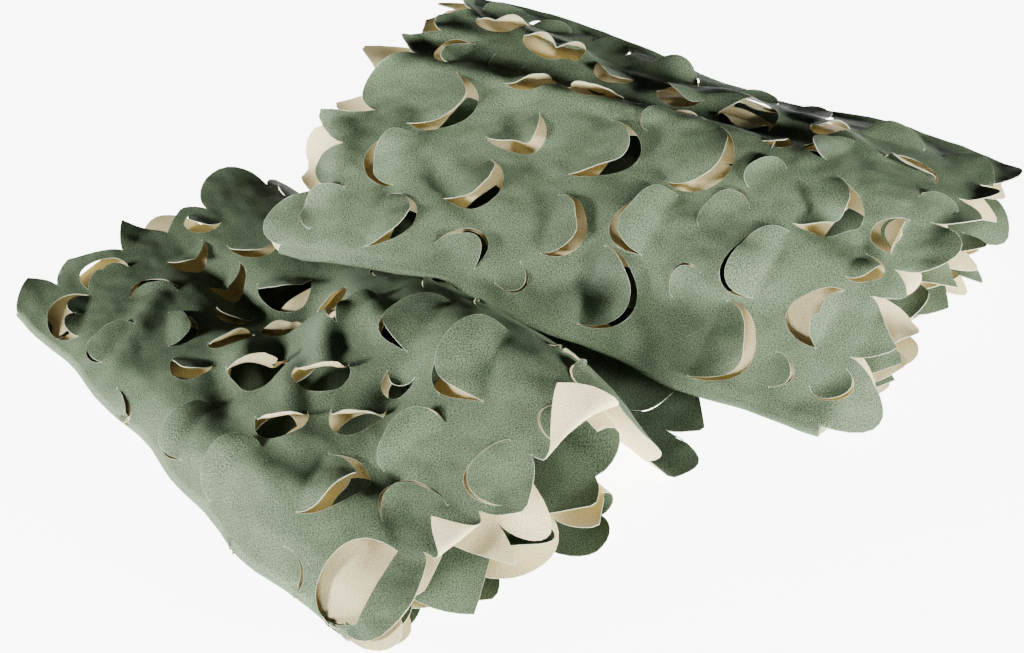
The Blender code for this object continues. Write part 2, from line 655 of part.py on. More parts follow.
def lift_leaves(flat, owner, frames):
    """Mid-surface points of the folded sheet, its leaves lifted and its tips curled."""
    foot = flat.copy()
    reach = np.zeros(len(flat))
    heading = np.zeros((len(flat), 2))
    turn = np.zeros(len(flat))
    for index, (neck, along, side) in enumerate(frames):
        mine = np.flatnonzero(owner == index)
        reach[mine] = np.maximum((flat[mine] - neck) @ along, 0)
        foot[mine] = flat[mine] - np.outer(reach[mine], along)
        heading[mine] = along
        turn[mine] = math.radians(CUTS[index][6])
    for name, end, tips, curls in ENDS:
        sign, edge = (-1.0, 0.0) if end == "tail" else (1.0, NET_WIDTH)
        bounds = tip_bounds(name, len(tips), tips[0])
        for index in np.flatnonzero(np.array(curls) > 0):
            flipped = curls[index] > FLIP
            limit = edge + (sign * NOTCH if flipped else 0.0)
            share = (flat[:, 0] - bounds[index]) / (bounds[index + 1] - bounds[index])
            past = (flat[:, 1] - limit) * sign
            mine = (past > 0) & (share > 0) & (share < 1) & (owner < 0)
            reach[mine] = past[mine]
            foot[mine, 1] = limit
            heading[mine] = (0.0, sign)
            turn[mine] = math.radians(curls[index]) * (1.0 if flipped else np.sin(math.pi * share[mine]))
    base = place(foot[:, 0], foot[:, 1])
    across, along, normal = frame_at(foot[:, 0], foot[:, 1])
    forward = across * heading[:, :1] + along * heading[:, 1:]
    radius = np.where(turn < 1.0, 35 * MM, np.where(turn < 2.35, ARCH, ROLL))
    bend = np.minimum(reach / radius, turn)
    rest = reach - bend * radius
    ahead = radius * np.sin(bend) + rest * np.cos(bend)
    rise = radius * (1 - np.cos(bend)) + rest * np.sin(bend)
    layer = np.clip(np.searchsorted(LAYER_STARTS, foot[:, 0], side="right") - 1, 0, len(LAYERS) - 1)
    face = np.where(np.array([GREEN_UP[index] for index in layer]), 1.0, -1.0)
    lifted = base + forward * ahead[:, None] + normal * (rise * face)[:, None]
    return np.where((reach > 0)[:, None], lifted, base)


def cloth_material():
    material = bpy.data.materials.new("green_cloth")
    material.use_nodes = True
    shader = material.node_tree.nodes["Principled BSDF"]
    shader.inputs["Base Color"].default_value = (0.10, 0.16, 0.10, 1.0)
    shader.inputs["Roughness"].default_value = 0.75
    shader.inputs["Metallic"].default_value = 0.0
    return material


def build_net():
    """The whole net: one closed sheet."""
    flat, faces, owner, frames = flat_sheet()
    points = lift_leaves(flat, owner, frames)
    points[:, 2] = np.maximum(points[:, 2], THICKNESS / 2)
    points[:, :2] -= CENTRE
    mesh = bpy.data.meshes.new("camouflage_net")
    mesh.from_pydata(points.tolist(), [], faces.tolist())
    mesh.materials.append(cloth_material())
    net = bpy.data.objects.new("camouflage_net", mesh)
    bpy.context.collection.objects.link(net)
    cloth = net.modifiers.new("thickness", "SOLIDIFY")
    cloth.thickness = THICKNESS
    cloth.offset = 0.0
    return net


for old in list(bpy.data.objects):
    bpy.data.objects.remove(old)

GRID, COLUMNS, ROWS, SPANS = build_grid()
LAYER_STARTS = np.array([SPANS[layer[0]][0] for layer in LAYERS])
GREEN_UP = [layer[0] in ("L0", "L2", "L4", "U0", "U2", "U4", "U6") for layer in LAYERS]
build_net()
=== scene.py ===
"""The dressed camouflage net: leaf-cut satin cloth, green on its face and sand on its
reverse, folded back and forth in two loose packs."""
import math

import bpy
import numpy as np
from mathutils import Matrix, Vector, kdtree
from mathutils.geometry import delaunay_2d_cdt


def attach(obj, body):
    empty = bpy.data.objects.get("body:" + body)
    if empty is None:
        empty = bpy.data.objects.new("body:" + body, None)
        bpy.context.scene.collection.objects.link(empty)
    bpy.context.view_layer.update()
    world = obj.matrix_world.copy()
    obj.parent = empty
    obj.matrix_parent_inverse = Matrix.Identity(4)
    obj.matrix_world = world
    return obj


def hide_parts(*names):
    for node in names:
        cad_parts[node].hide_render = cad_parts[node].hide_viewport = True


MM = 0.001
SOLID_CLOTH = 1.5 * MM          # the folds are set out for cloth as thick as the solid's
CLOTH = 0.7 * MM                # and carry this thinner cloth here
NET_WIDTH = 500.0 * MM          # along the folds, tail end to head end
MARGIN = 70.0 * MM              # how far the leaf tips may reach past either end

# Plan of the two packs: a front corner and the heading of their folds.
LOWER_CORNER = np.array([-0.112, -0.322])
LOWER_HEADING = math.radians(128.2)
UPPER_CORNER = np.array([0.250, -0.089])
UPPER_HEADING = math.radians(159.5)
RIDGE = 256.0 * MM              # where the lower pack's top layer turns down
RIDGE_DROP = 50.0 * MM          # the width of that fall
LEAST_LOWER = 12 * MM           # the least height of the lower pack's top
LEAST_RISE = 12.0 * MM          # the upper pack's loft where it leaves the ground
FRONT = 0.12                    # how far back the shape of a pack's front fold is felt (m)
EDGE_WAVE = 3.0 * MM            # how far the packs' front folds wander
# Where the front folds bulge outwards or draw in: pack, along, half width, how far out (mm).
EDGE_BULGES = [
    ("lower", 115, 45, 9),
    ("lower", 215, 40, 8),
    ("lower", 395, 60, -7),
    ("upper", -5, 55, 11),
    ("upper", 170, 75, -15),
    ("upper", 330, 60, -4),
]
CENTRE = np.array([0.00494, 0.00827])    # the middle of the net's box on that plan

# Fineness of the curved surface the folds make.
LAYER_SAMPLES = 81
ARC_SAMPLES = 33
ROW_STEP = 10.0 * MM
COLUMN_STEP = 4.0 * MM
ARC_STEPS = 8
FOLD_REACH = 0.66               # how roundly a fold turns: its handles, as a share of its span
# Fineness of the cloth on it, with the pitch of the points on each layer (mm).
FOLD_STEPS = 8
LEAF_STEPS = 0.85               # points on a leaf cut for each mm of its radius
LEAST_LEAF_STEPS = 14
TIP_STEPS = 14                  # points on each leaf tip of a ragged end
LEAST_STEP = 0.5 * MM
EDGE_LINE = 0.9 * MM            # a row of points this far inside every cut edge
LATTICE_CLEAR = 0.55            # lattice points keep this share of their pitch clear of others
ROW_PITCH = 12.0 * MM
END_BAND = 60.0 * MM
END_PITCH = 7.5
LAYER_PITCH = {"L0": 16, "L1": 13, "L2": 13, "L3": 7.5, "L4": 4.5, "U0": 9,
               "U1": 13, "U2": 13, "U3": 13, "U4": 13, "U5": 8, "U6": 4.5}

# Heights of each pack's top layer: columns run across, rows run along (mm).
LOWER_ACROSS = np.array([0, 22, 60, 120, 180, 230, 256]) * MM
LOWER_ALONG = np.array([-60, 0, 60, 125, 229, 320, 505, 560]) * MM
LOWER_TOP = np.array([
    [12, 15, 19, 26, 40, 56, 54],
    [14, 24, 34, 48, 72, 92, 90],
    [16, 34, 46, 62, 88, 106, 102],
    [17, 40, 52, 68, 90, 105, 98],
    [17, 38, 49, 61, 76, 83, 76],
    [15, 28, 36, 42, 50, 52, 48],
    [12, 16, 20, 25, 31, 34, 32],
    [11, 13, 16, 19, 22, 24, 24]]) * MM
UPPER_ACROSS = np.array([0, 12, 35, 75, 120, 165, 210, 255, 300]) * MM
UPPER_ALONG = np.array([-130, -60, 0, 50, 120, 250, 370, 490, 550]) * MM
UPPER_TOP = np.array([
    [10, 14, 26, 44, 56, 68, 72, 72, 66],
    [11, 19, 38, 64, 82, 96, 97, 94, 86],
    [12, 25, 54, 86, 106, 121, 117, 109, 96],
    [13, 27, 64, 102, 122, 138, 130, 118, 103],
    [13, 28, 67, 108, 130, 148, 137, 125, 105],
    [46, 58, 84, 112, 133, 154, 149, 144, 128],
    [70, 82, 100, 120, 139, 161, 162, 162, 147],
    [64, 76, 92, 112, 132, 155, 161, 165, 158],
    [56, 66, 80, 96, 113, 130, 137, 141, 137]]) * MM

# Soft creases: pack, across, along (mm), heading from across (deg), length, width, height (mm).
CREASES = [
    ("lower", 178, 312, 20, 70, 20, -14),
    ("lower", 130, 335, 100, 70, 18, -10),
    ("lower", 100, 285, 60, 60, 18, 9),
    ("lower", 165, 262, 110, 70, 17, 9),
    ("lower", 60, 120, 80, 130, 18, 5),
    ("lower", 95, 60, 30, 90, 16, -5),
    ("upper", 40, 470, 120, 60, 14, -7),
    ("upper", 60, 300, 70, 90, 14, 4),
    ("upper", 70, 60, 60, 90, 14, -5),
    ("upper", 60, 100, 100, 110, 16, 5),
    ("upper", 230, 250, 80, 160, 16, -6),
    ("upper", 250, 120, 100, 120, 18, 6),
    ("lower", 152, 368, 92, 130, 17, -20),
    ("lower", 205, 118, 90, 150, 34, 8),
    ("upper", 80, 462, 12, 150, 7, -6),
    ("upper", 80, 445, 12, 140, 8, 4),
    ("upper", 38, 132, 75, 44, 7, -6),
    ("upper", 62, 400, 30, 60, 6, -4),
    ("upper", 24, 300, 60, 70, 8, 5),
    ("upper", 30, 240, 100, 60, 8, -5),
    ("upper", 130, 20, 20, 90, 8, -5),
    ("upper", 100, 10, 35, 80, 7, 4),
    ("upper", 235, 60, 70, 80, 12, 7),
    ("upper", 250, 400, 60, 60, 9, 7),
    ("upper", 270, 350, 110, 60, 9, -7),
    ("upper", 245, 300, 70, 60, 9, 7),
    ("upper", 265, 200, 100, 60, 9, -6),
    ("upper", 240, 150, 70, 60, 9, 7),
    ("lower", 112, 262, 40, 60, 16, -12),
    ("lower", 178, 296, 100, 60, 15, -12),
    ("lower", 150, 150, 30, 60, 14, -9),
    ("lower", 140, 232, 55, 90, 11, 10),
    ("lower", 190, 236, 75, 80, 12, 8),
    ("lower", 96, 216, 60, 80, 12, 7),
    ("lower", 70, 395, 35, 100, 12, 6),
    ("lower", 62, 250, 70, 110, 14, -6),
    ("lower", 84, 104, 120, 80, 13, -7),
    ("lower", 130, 84, 20, 90, 16, 5),
    ("lower", 40, 150, 100, 120, 14, 6),
    ("upper", 172, 260, 93, 400, 10, 5),
    ("upper", 200, 270, 93, 380, 12, -6),
    ("upper", 95, 395, 35, 80, 11, 5),
    ("upper", 70, 350, 60, 60, 10, -5),
    ("upper", 120, 300, 40, 80, 12, -5),
    ("upper", 60, 200, 25, 90, 13, 5),
    ("upper", 110, 160, 60, 90, 13, -5),
    ("upper", 90, 20, 70, 80, 11, 6),
    ("upper", 130, 60, 40, 90, 12, -6),
    ("upper", 235, 330, 60, 90, 12, 9),
    ("upper", 225, 200, 110, 80, 12, 8),
    ("upper", 215, 405, 100, 70, 12, 7),
    ("upper", 260, 270, 80, 100, 12, -7),
]

# Folds: pack, across, along at the tail, along at the head, wander across (mm), its phase.
FOLDS = {
    "edge": ("lower", 14, -4, 492, 0, 0.0),
    "right 1": ("lower", 236, -6, 488, 0, 0.0),
    "left 1": ("lower", 5, 0, 498, 0, 0.0),
    "right 2": ("lower", 228, -8, 498, 0, 0.0),
    "left 2": ("lower", 1, -4, 505, 0, 0.0),
    "ridge": ("lower", 256, 2, 512, 0, 0.0),
    "back 1": ("upper", 290, -54, 420, 7, 0.4),
    "front 1": ("upper", 40, -18, 470, 4, 2.0),
    "back 2": ("upper", 284, -68, 418, 8, 2.6),
    "front 2": ("upper", 48, -24, 474, 4, 4.4),
    "back 3": ("upper", 292, -78, 412, 7, 5.2),
    "front 3": ("upper", 2, -6, 486, 0, 0.0),
    "free": ("upper", 305, -78, 404, 6, 1.3),
}
# Layers, from the bottom: name, from fold, to fold, share of the pack's height, how close it
# may lie to the top where that is set (mm), and how unevenly it lies (share).
LAYERS = [
    ("L0", "edge", "right 1", 0.0, None, 0.0),
    ("L1", "right 1", "left 1", 0.25, None, 0.05),
    ("L2", "left 1", "right 2", 0.50, None, 0.05),
    ("L3", "right 2", "left 2", 0.75, 6.0, 0.0),
    ("L4", "left 2", "ridge", 1.0, None, 0.0),
    ("U0", "ridge", "back 1", 0.0, None, 0.0),
    ("U1", "back 1", "front 1", 0.23, None, 0.02),
    ("U2", "front 1", "back 2", 0.37, None, 0.025),
    ("U3", "back 2", "front 2", 0.52, None, 0.03),
    ("U4", "front 2", "back 3", 0.68, None, 0.02),
    ("U5", "back 3", "front 3", 0.50, 7.0, 0.0),
    ("U6", "front 3", "free", 1.0, None, 0.0),
]

# The sheet's face, which is green, looks up on these layers.
GREEN_UP = [index for index, layer in enumerate(LAYERS)
            if layer[0] in ("L0", "L2", "L4", "U0", "U2", "U4", "U6")]

# Leaf cuts: layer, s across the folds, u along them, heading (0 across, 90 towards the head
# end), radius, widest gap, lift. A cut whose gap equals its radius has no leaf left in it.
CUTS = [
    ("U6", 104, 110, 90, 31, 5, 14),
    ("U6", 36, 118, 260, 34, 6, 18),
    ("U6", 170, 92, 262, 32, 11, 20),
    ("U6", 104, 210, 92, 31, 7, 18),
    ("U6", 40, 222, 272, 33, 5, 14),
    ("U6", 172, 204, 255, 33, 9, 20),
    ("U6", 156, 284, 265, 33, 8, 20),
    ("U6", 132, 40, 266, 18, 5, 16),
    ("U6", 174, 30, 95, 20, 8, 165),
    ("U6", 78, 278, 282, 28, 8, 20),
    ("U6", 158, 430, 258, 32, 9, 20),
    ("U6", 96, 432, 100, 29, 10, 22),
    ("U6", 36, 410, 280, 27, 5, 18),
    ("U6", 150, 356, 234, 26, 8, 22),
    ("U6", 88, 362, 250, 28, 11, 24),
    ("U6", 80, 48, 90, 26, 20, 24),
    ("U6", 26, 338, 345, 22, 5, 16),
    ("U6", 222, 452, 90, 22, 8, 20),
    ("U6", 205, 376, 250, 22, 9, 50),
    ("U6", 222, 322, 200, 24, 6, 20),
    ("U6", 235, 118, 90, 25, 5, 20),
    ("U6", 262, 62, 0, 24, 6, 172),
    ("U6", 252, 205, 0, 28, 6, 174),
    ("U6", 270, 268, 150, 22, 6, 22),
    ("U6", 268, 390, 200, 26, 8, 24),
    ("U6", 222, 160, 250, 15, 6, 26),
    ("U6", 270, 334, 180, 20, 7, 24),
    ("U6", 278, 141, 210, 17, 6, 24),
    ("U6", 280, 446, 200, 20, 7, 26),
    ("L4", 82, 466, 90, 25, 20, 20),
    ("L4", 34, 440, 135, 29, 25, 30),
    ("L4", 98, 417, 60, 20, 13, 24),
    ("L4", 152, 440, 270, 22, 6, 30),
    ("L4", 160, 392, 270, 22, 12, 30),
    ("L4", 68, 308, 200, 20, 7, 18),
    ("L4", 105, 262, 240, 27, 9, 100),
    ("L4", 136, 208, 225, 24, 9, 110),
    ("L4", 86, 193, 225, 22, 9, 105),
    ("L4", 128, 153, 225, 21, 8, 100),
    ("L4", 170, 155, 200, 15, 8, 100),
    ("L4", 194, 345, 225, 26, 9, 50),
    ("L4", 158, 303, 225, 22, 8, 100),
    ("L4", 214, 182, 105, 32, 5, 22),
    ("L4", 214, 104, 125, 38, 5, 20),
    ("L4", 140, 98, 80, 28, 5, 18),
    ("L4", 34, 187, 85, 27, 5, 16),
    ("L4", 74, 118, 300, 31, 8, 16),
    ("L4", 30, 248, 121, 26, 5, 14),
    ("L4", 36, 384, 110, 24, 5, 14),
    ("L4", 36, 34, 110, 36, 36, 0),
    ("L4", 196, 246, 90, 24, 14, 30),
    ("L4", 190, 466, 200, 18, 8, 24),
    ("L4", 84, 360, 330, 22, 5, 14),
]
# Round openings in the lower pack's second layer: s, u, radius. Four of them are in the solid.
OPENINGS = [(138, 260, 32), (108, 200, 30), (168, 190, 24), (64, 142, 28), (118, 143, 22),
            (58, 350, 34), (88, 292, 22), (125, 425, 28), (160, 352, 26), (215, 262, 22),
            (215, 190, 20)]
CUTS += [("L3", s, u, 90, radius, radius, 0) for s, u, radius in OPENINGS]

# Bands of narrow slits, which are left out of the solid: layer, from s, to s (mm), lift (deg)
# and the headings they take (deg).
SLIT_BANDS = [
    ("L4", -34, 20, 8, (90, 270)),
    ("L4", 12, 236, 14, (90, 270, 60, 240, 135)),
    ("U6", 14, 215, 12, (90, 270, 60, 240, 135)),
    ("U6", 215, 288, 24, (180, 0, 210, 20, 90, 340)),
    ("U6", 282, 345, 24, (0, 25, 335)),
    ("L2", 0, 60, 10, (180, 0)),
    ("U5", 60, 200, 10, (90, 270)),
    ("U0", -24, 150, 3, (90, 270, 60, 240, 135)),
    ("U5", -30, 42, 12, (0, 20, 340, 90)),
    ("U3", -30, 42, 12, (0, 20, 340, 270)),
    ("U1", -34, 42, 12, (0, 20, 340, 90)),
]
SLIT_RADII = (26, 22, 18, 15)
SLIT_GAPS = (0.9, 1.2, 2.5)
SLIT_SPREAD = math.radians(102)
SLIT_PITCH = 21.0
SLIT_MARGIN = 3.6               # cloth left between two cuts (mm)
SLIT_EDGE = 4                   # and between a slit and the ends
SLIT_SHIFT = 7                  # how far a slit strays from its place in the rows
SLIT_TURN = 20                  # and from its heading (deg)
SLIT_OPEN = 0.15                # the gap that a degree of lift allows (mm)
SLIT_SIZE = 20                  # the radius those gaps are meant for (mm)

# The layer under each top layer, and what their flat positions add up to at one spot (mm).
UNDER = {"U6": ("U5", 334.0), "L4": ("L3", 242.0)}
HOLLOW_SIZE = 0.75              # an opening there, as a share of the leaf cut above it
HOLLOW_EDGE = 8                 # cloth left beside it (mm)

# In the lower pack's valley slits open wider and stand up: layer, limits of s and u (mm).
VALLEY = ("L4", 62, 218, 118, 345)
VALLEY_HEADING, VALLEY_GAP, VALLEY_LIFT = 232, 7, 98

# Ragged ends: layer, end, reach of each leaf tip past the end (mm), curl of each tip (deg).
ENDS = [
    ("L0", "tail", (-6, 8, -4, 14), (0, 0, 0, 0)),
    ("L0", "head", (10, -4, 14, 4), (0, 0, 0, 0)),
    ("L1", "tail", (18, 12, 2, 8), (14, -12, 12, -10)),
    ("L1", "head", (6, 18, 2, 14), (0, 0, 0, 0)),
    ("L2", "tail", (6, 22, 16, 6), (14, -16, 24, 10)),
    ("L2", "head", (14, 0, 16, 6), (0, 0, 0, 0)),
    ("L3", "tail", (-30, 18, 26, -6, 20), (0, -18, 14, -16, 20)),
    ("L3", "head", (4, 24, 6, 18), (0, 0, 0, 0)),
    ("L4", "tail", (8, 22, 8, 30), (12, 166, 24, 168)),
    ("L4", "head", (12, 16, 14, 0, 20), (10, 0, 25, 0, 10)),
    ("U0", "tail", (14, 6, -18, -34, -30, 0, 8), (0, 0, 0, 0, 0, 0, 0)),
    ("U0", "head", (0, 8, 0, 8), (0, 0, 0, 0)),
    ("U1", "tail", (10, 20, 2, 14, 6), (18, -14, 25, 10, -12)),
    ("U1", "head", (10, 20, 4, 16), (0, 0, 0, 0)),
    ("U2", "tail", (10, 2, 14, 22, 10), (-16, 18, 0, -22, 14)),
    ("U2", "head", (14, 2, 16, 8), (0, 0, 0, 0)),
    ("U3", "tail", (8, 16, 12, -2, 12), (22, -18, 26, -14, 18)),
    ("U3", "head", (18, 8, 20, 4), (0, 0, 0, 0)),
    ("U4", "tail", (12, 0, 14, 12, 18), (-12, 24, -20, 16, -18)),
    ("U4", "head", (16, 4, 20, 10), (0, 0, 0, 0)),
    ("U5", "tail", (4, 16, -6, 2, 24, 14), (0, -16, 14, -24, 10, -30)),
    ("U5", "head", (24, 10, 32, 18, 36, 6), (0, 0, 0, 0, 0, 0)),
    ("U6", "tail", (26, 16, 2, 20, 14, 12, 8), (-16, 14, -12, 30, 12, 34, 20)),
    ("U6", "head", (8, 0, 20, 2, 10, 0, 12), (14, 20, 28, 12, 30, 16, 34)),
]
NOTCH = -15.0 * MM              # the ends between the leaf tips
NOTCH_DEPTH = 22.0 * MM         # and how far back they go beside a short tip
FLIP = 90.0                     # a tip that curls further than this (deg) lies back over the net
FLIP_NOTCH = 8.0 * MM           # and is cut in deeper on both sides
TIP_TWIST = 0.5                 # how far a tip's sides rise and fall, as a share of its reach

# Kinds of leaves, told apart by their gap (mm) and lift (deg).
SLIT_GAP = 3                    # slits gape less than this
STANDING = 60                   # leaves that stand up lift more than this
TURNED = 140                    # and those that turn over more than this
TURNED_STEPS = 4                # which have this many more points on their cuts
LOW_SPREAD = math.radians(104)  # a low leaf's cut runs this far round either side of its tip
ARCH_SPREAD = math.radians(106) # a standing leaf's
HIGH_SPREAD = math.radians(96)  # and a leaf that turns over
SLOPE = 35 * MM                 # bending radius of a low leaf
ARCH = 11.0 * MM                # of one that stands up
ROLL = 4.5 * MM                 # and of one that turns over
BOWL = 5.0                      # how much low leaves cup or arch across (1/m),
BOWL_FULL = 30 * MM             # from this far ahead of the hinge
DOME = 0.16                     # how far a low leaf bulges, as a share of its radius

# Rumpling: each layer's share of it, how far the layers that take it whole rise to clear those
# below (mm), and the length and height of each set of waves (mm).
RUMPLE = {"L0": 0.0, "L1": 0.3, "L2": 0.4, "L3": 0.5, "L4": 1.0, "U0": 0.6,
          "U1": 0.8, "U2": 0.9, "U3": 0.9, "U4": 0.9, "U5": 0.6, "U6": 1.0}
RUMPLE_SHIFT = 2.0
RUMPLE_WAVES = ((110, 1.1), (70, 0.6), (44, 0.35), (28, 0.3), (18, 0.24), (12, 0.16))
RUMPLE_HEADINGS = 5             # how many ways each set runs
RUMPLE_CREST = 2.3              # how long a wave's crest is, in wavelengths

# Satin cloth: the colour between its threads, on its threads and where it frays at a cut.
GREEN = ((0.020, 0.031, 0.018), (0.134, 0.182, 0.104), (0.46, 0.50, 0.38))
SAND = ((0.40, 0.35, 0.19), (0.76, 0.66, 0.36), (0.82, 0.74, 0.48))
FRAYED = (0.30, 0.32, 0.23)
THREADS = ((1700.0, 800.0, 1.0), (750.0, 1700.0, 1.0))    # how close they lie, two ways

# The staging: where the camera looks, from how far, and the lights, each with its azimuth and
# elevation (deg), distance, size (m) and power (W).
TARGET = Vector((-CENTRE[0], -CENTRE[1], 0.05))
LENS = 85.0
CAMERA_ELEVATION = 38.0
CAMERA_DISTANCE = 1.9342
LIGHTS = [
    ("left key", -72, 9, 2.6, (0.5, 0.35), 200.0),
    ("right key", 60, 7, 2.6, (0.5, 0.35), 240.0),
    ("front", -10, 3, 2.8, (1.2, 0.3), 125.0),
]
WORLD = 0.04
FLOOR_HALF = 6
FLOOR_GLOW = 5.8                # the light the floor gives
FLOOR_SEEN = 8.0                # and how bright the camera sees it
SHADE_ENDS = (0.14, 0.94)       # the painted shade's ends, as shares of the folds' length
SHADE_INSET = 0.08              # and its inset from the folds beside it
SHADE_HEIGHT = 0.1 * MM


def smooth_curve(knots, values, x):
    """Cubic Hermite curve through the knots; one column of values per x, or one for all."""
    x = np.clip(x, knots[0], knots[-1])
    if values.ndim == 1:
        values = np.repeat(values[:, None], x.size, axis=1)
    tangent = np.gradient(values, knots, axis=0)
    i = np.clip(np.searchsorted(knots, x, side="right") - 1, 0, len(knots) - 2)
    n = np.arange(x.size)
    h = knots[i + 1] - knots[i]
    t = (x - knots[i]) / h
    start, end = values[i, n], values[i + 1, n]
    leave, arrive = tangent[i, n] * h, tangent[i + 1, n] * h
    return ((2 * t**3 - 3 * t**2 + 1) * start + (t**3 - 2 * t**2 + t) * leave
            + (-2 * t**3 + 3 * t**2) * end + (t**3 - t**2) * arrive)


def height_table(across_knots, along_knots, heights, across, along):
    """Heights read from a table, smooth both ways."""
    rows = np.array([smooth_curve(across_knots, row, across) for row in heights])
    return smooth_curve(along_knots, rows, along)


def pack_axes(heading):
    """A pack's directions on the ground, across and along its folds."""
    along = np.array([math.cos(heading), math.sin(heading)])
    return np.array([along[1], -along[0]]), along


LOWER_X, LOWER_Y = pack_axes(LOWER_HEADING)
UPPER_X, UPPER_Y = pack_axes(UPPER_HEADING)


def plan(pack, across, along):
    """Places on the ground for a pack's own coordinates, its front fold waved and bulged."""
    front = np.clip(1 - across / FRONT, 0, 1)
    wave = np.sin(along * 27 + 1.0) + 0.6 * np.sin(along * 61 + 2.2)
    across = across + EDGE_WAVE * wave * front * front
    for name, middle, width, out in EDGE_BULGES:
        if name == pack:
            bulge = np.exp(-((along / MM - middle) / width)**2)
            across = across - out * MM * front * front * bulge
    if pack == "lower":
        return LOWER_CORNER + np.outer(across, LOWER_X) + np.outer(along, LOWER_Y)
    return UPPER_CORNER + np.outer(across, UPPER_X) + np.outer(along, UPPER_Y)


def creases(pack, across, along):
    """Height added by the soft creases of one pack."""
    total = np.zeros_like(across)
    for name, x, y, heading, length, width, height in CREASES:
        if name != pack:
            continue
        turn = math.radians(heading)
        dx, dy = across - x * MM, along - y * MM
        run = (dx * math.cos(turn) + dy * math.sin(turn)) / (length * MM * 0.5)
        side = (-dx * math.sin(turn) + dy * math.cos(turn)) / (width * MM)
        total += height * MM * np.exp(-run**2 - side**2)
    return total


def lower_top(across, along):
    """Top of the lower pack, falling to the ground past its ridge."""
    inside = np.minimum(across, RIDGE)
    z = height_table(LOWER_ACROSS, LOWER_ALONG, LOWER_TOP, inside, along)
    z = np.maximum(z + creases("lower", inside, along), LEAST_LOWER)
    fall = np.clip((across - RIDGE) / RIDGE_DROP, 0, 1)
    return SOLID_CLOTH / 2 + (z - SOLID_CLOTH / 2) * (0.5 + 0.5 * np.cos(math.pi * fall))


def upper_top(across, along):
    """Top of the upper pack."""
    z = height_table(UPPER_ACROSS, UPPER_ALONG, UPPER_TOP, across, along)
    return z + creases("upper", across, along)


def fold_line(name, w):
    """One fold's line in its pack's coordinates: w runs 0..1 from tail to head."""
    pack, across, tail, head, wander, phase = FOLDS[name]
    along = tail + (head - tail) * w
    return pack, (across + wander * np.sin(along * 0.021 + phase)) * MM, along * MM


def layer_surface(layer, v, w):
    """Mid surface of a layer: v runs 0..1 from fold to fold, w runs 0..1 tail to head."""
    first, last, share, gap, uneven = layer[1:]
    pack_a, across_a, along_a = fold_line(first, w)
    pack_b, across_b, along_b = fold_line(last, w)
    across = across_a * (1 - v) + across_b * v
    along = along_a * (1 - v) + along_b * v
    if pack_a != pack_b:
        start = plan(pack_a, across_a, along_a)
        end = plan(pack_b, across_b, along_b)
        ground = start + (end - start) * v[:, None]
        offset = ground - LOWER_CORNER
        z = lower_top(np.maximum(offset @ LOWER_X, RIDGE), offset @ LOWER_Y)
        return np.column_stack([ground, z])
    ground = plan(pack_a, across, along)
    if pack_a == "lower":
        base = np.full_like(v, SOLID_CLOTH / 2)
        rise = lower_top(across, along) - base
    else:
        offset = ground - LOWER_CORNER
        base = lower_top(offset @ LOWER_X, offset @ LOWER_Y)
        loft = upper_top(across, along) - base
        rise = 0.5 * (loft + np.sqrt(loft**2 + 4 * LEAST_RISE**2))
    lie = np.sin(across * 31 + along * 17 + 9 * share) * np.clip(across / FRONT, 0, 1)
    height = (share + uneven * lie) * rise
    if gap is not None:
        height = np.maximum(height, rise - gap * MM)
    return np.column_stack([ground, base + height])


def even_resample(points, count):
    """Points at equal arc length along each column of a grid of points."""
    step = np.linalg.norm(np.diff(points, axis=0), axis=2)
    length = np.vstack([np.zeros(points.shape[1]), np.cumsum(step, axis=0)])
    result = np.empty((count, points.shape[1], 3))
    for j in range(points.shape[1]):
        target = np.linspace(0, length[-1, j], count)
        for axis in range(3):
            result[:, j, axis] = np.interp(target, length[:, j], points[:, j, axis])
    return result, float(length[-1].mean())


def fold_arc(before, after):
    """A round turn from the end of one layer to the start of the next."""
    start, end = before[-1], after[0]
    leave = start - before[-2]
    arrive = end - after[1]
    leave /= np.linalg.norm(leave, axis=1)[:, None]
    arrive /= np.linalg.norm(arrive, axis=1)[:, None]
    reach = np.linalg.norm(end - start, axis=1)[:, None] * FOLD_REACH
    t = np.linspace(0, 1, ARC_SAMPLES)[:, None, None]
    first, second = start + leave * reach, end + arrive * reach
    return (start * (1 - t)**3 + 3 * first * t * (1 - t)**2
            + 3 * second * t**2 * (1 - t) + end * t**3)


def build_grid():
    """The whole folded sheet as a grid of mid-surface points, with its flat coordinates."""
    rows = np.arange(-MARGIN, NET_WIDTH + MARGIN + ROW_STEP / 2, ROW_STEP)
    w = rows / NET_WIDTH
    v = np.linspace(0, 1, LAYER_SAMPLES)
    vv, ww = np.meshgrid(v, w, indexing="ij")
    surfaces = []
    for layer in LAYERS:
        points = layer_surface(layer, vv.ravel(), ww.ravel()).reshape(len(v), len(w), 3)
        surfaces.append(even_resample(points, LAYER_SAMPLES)[0])
    grids, flat, spans = [], [], {}
    position = 0.0
    for index, layer in enumerate(LAYERS):
        length = np.linalg.norm(np.diff(surfaces[index], axis=0), axis=2).sum(axis=0).mean()
        count = int(round(length / COLUMN_STEP)) + 1
        grid, length = even_resample(surfaces[index], count)
        spans[layer[0]] = (position, position + length)
        columns = position + np.linspace(0, length, count)
        if grids:
            grid, columns = grid[1:], columns[1:]
        grids.append(grid)
        flat.append(columns)
        position += length
        if layer[2] in ("ridge", "free"):
            continue
        arc, length = even_resample(fold_arc(surfaces[index], surfaces[index + 1]), ARC_STEPS + 1)
        spans["after " + layer[0]] = (position, position + length)
        grids.append(arc[1:])
        flat.append(position + np.linspace(0, length, ARC_STEPS + 1)[1:])
        position += length
    return np.concatenate(grids), np.concatenate(flat), rows, spans


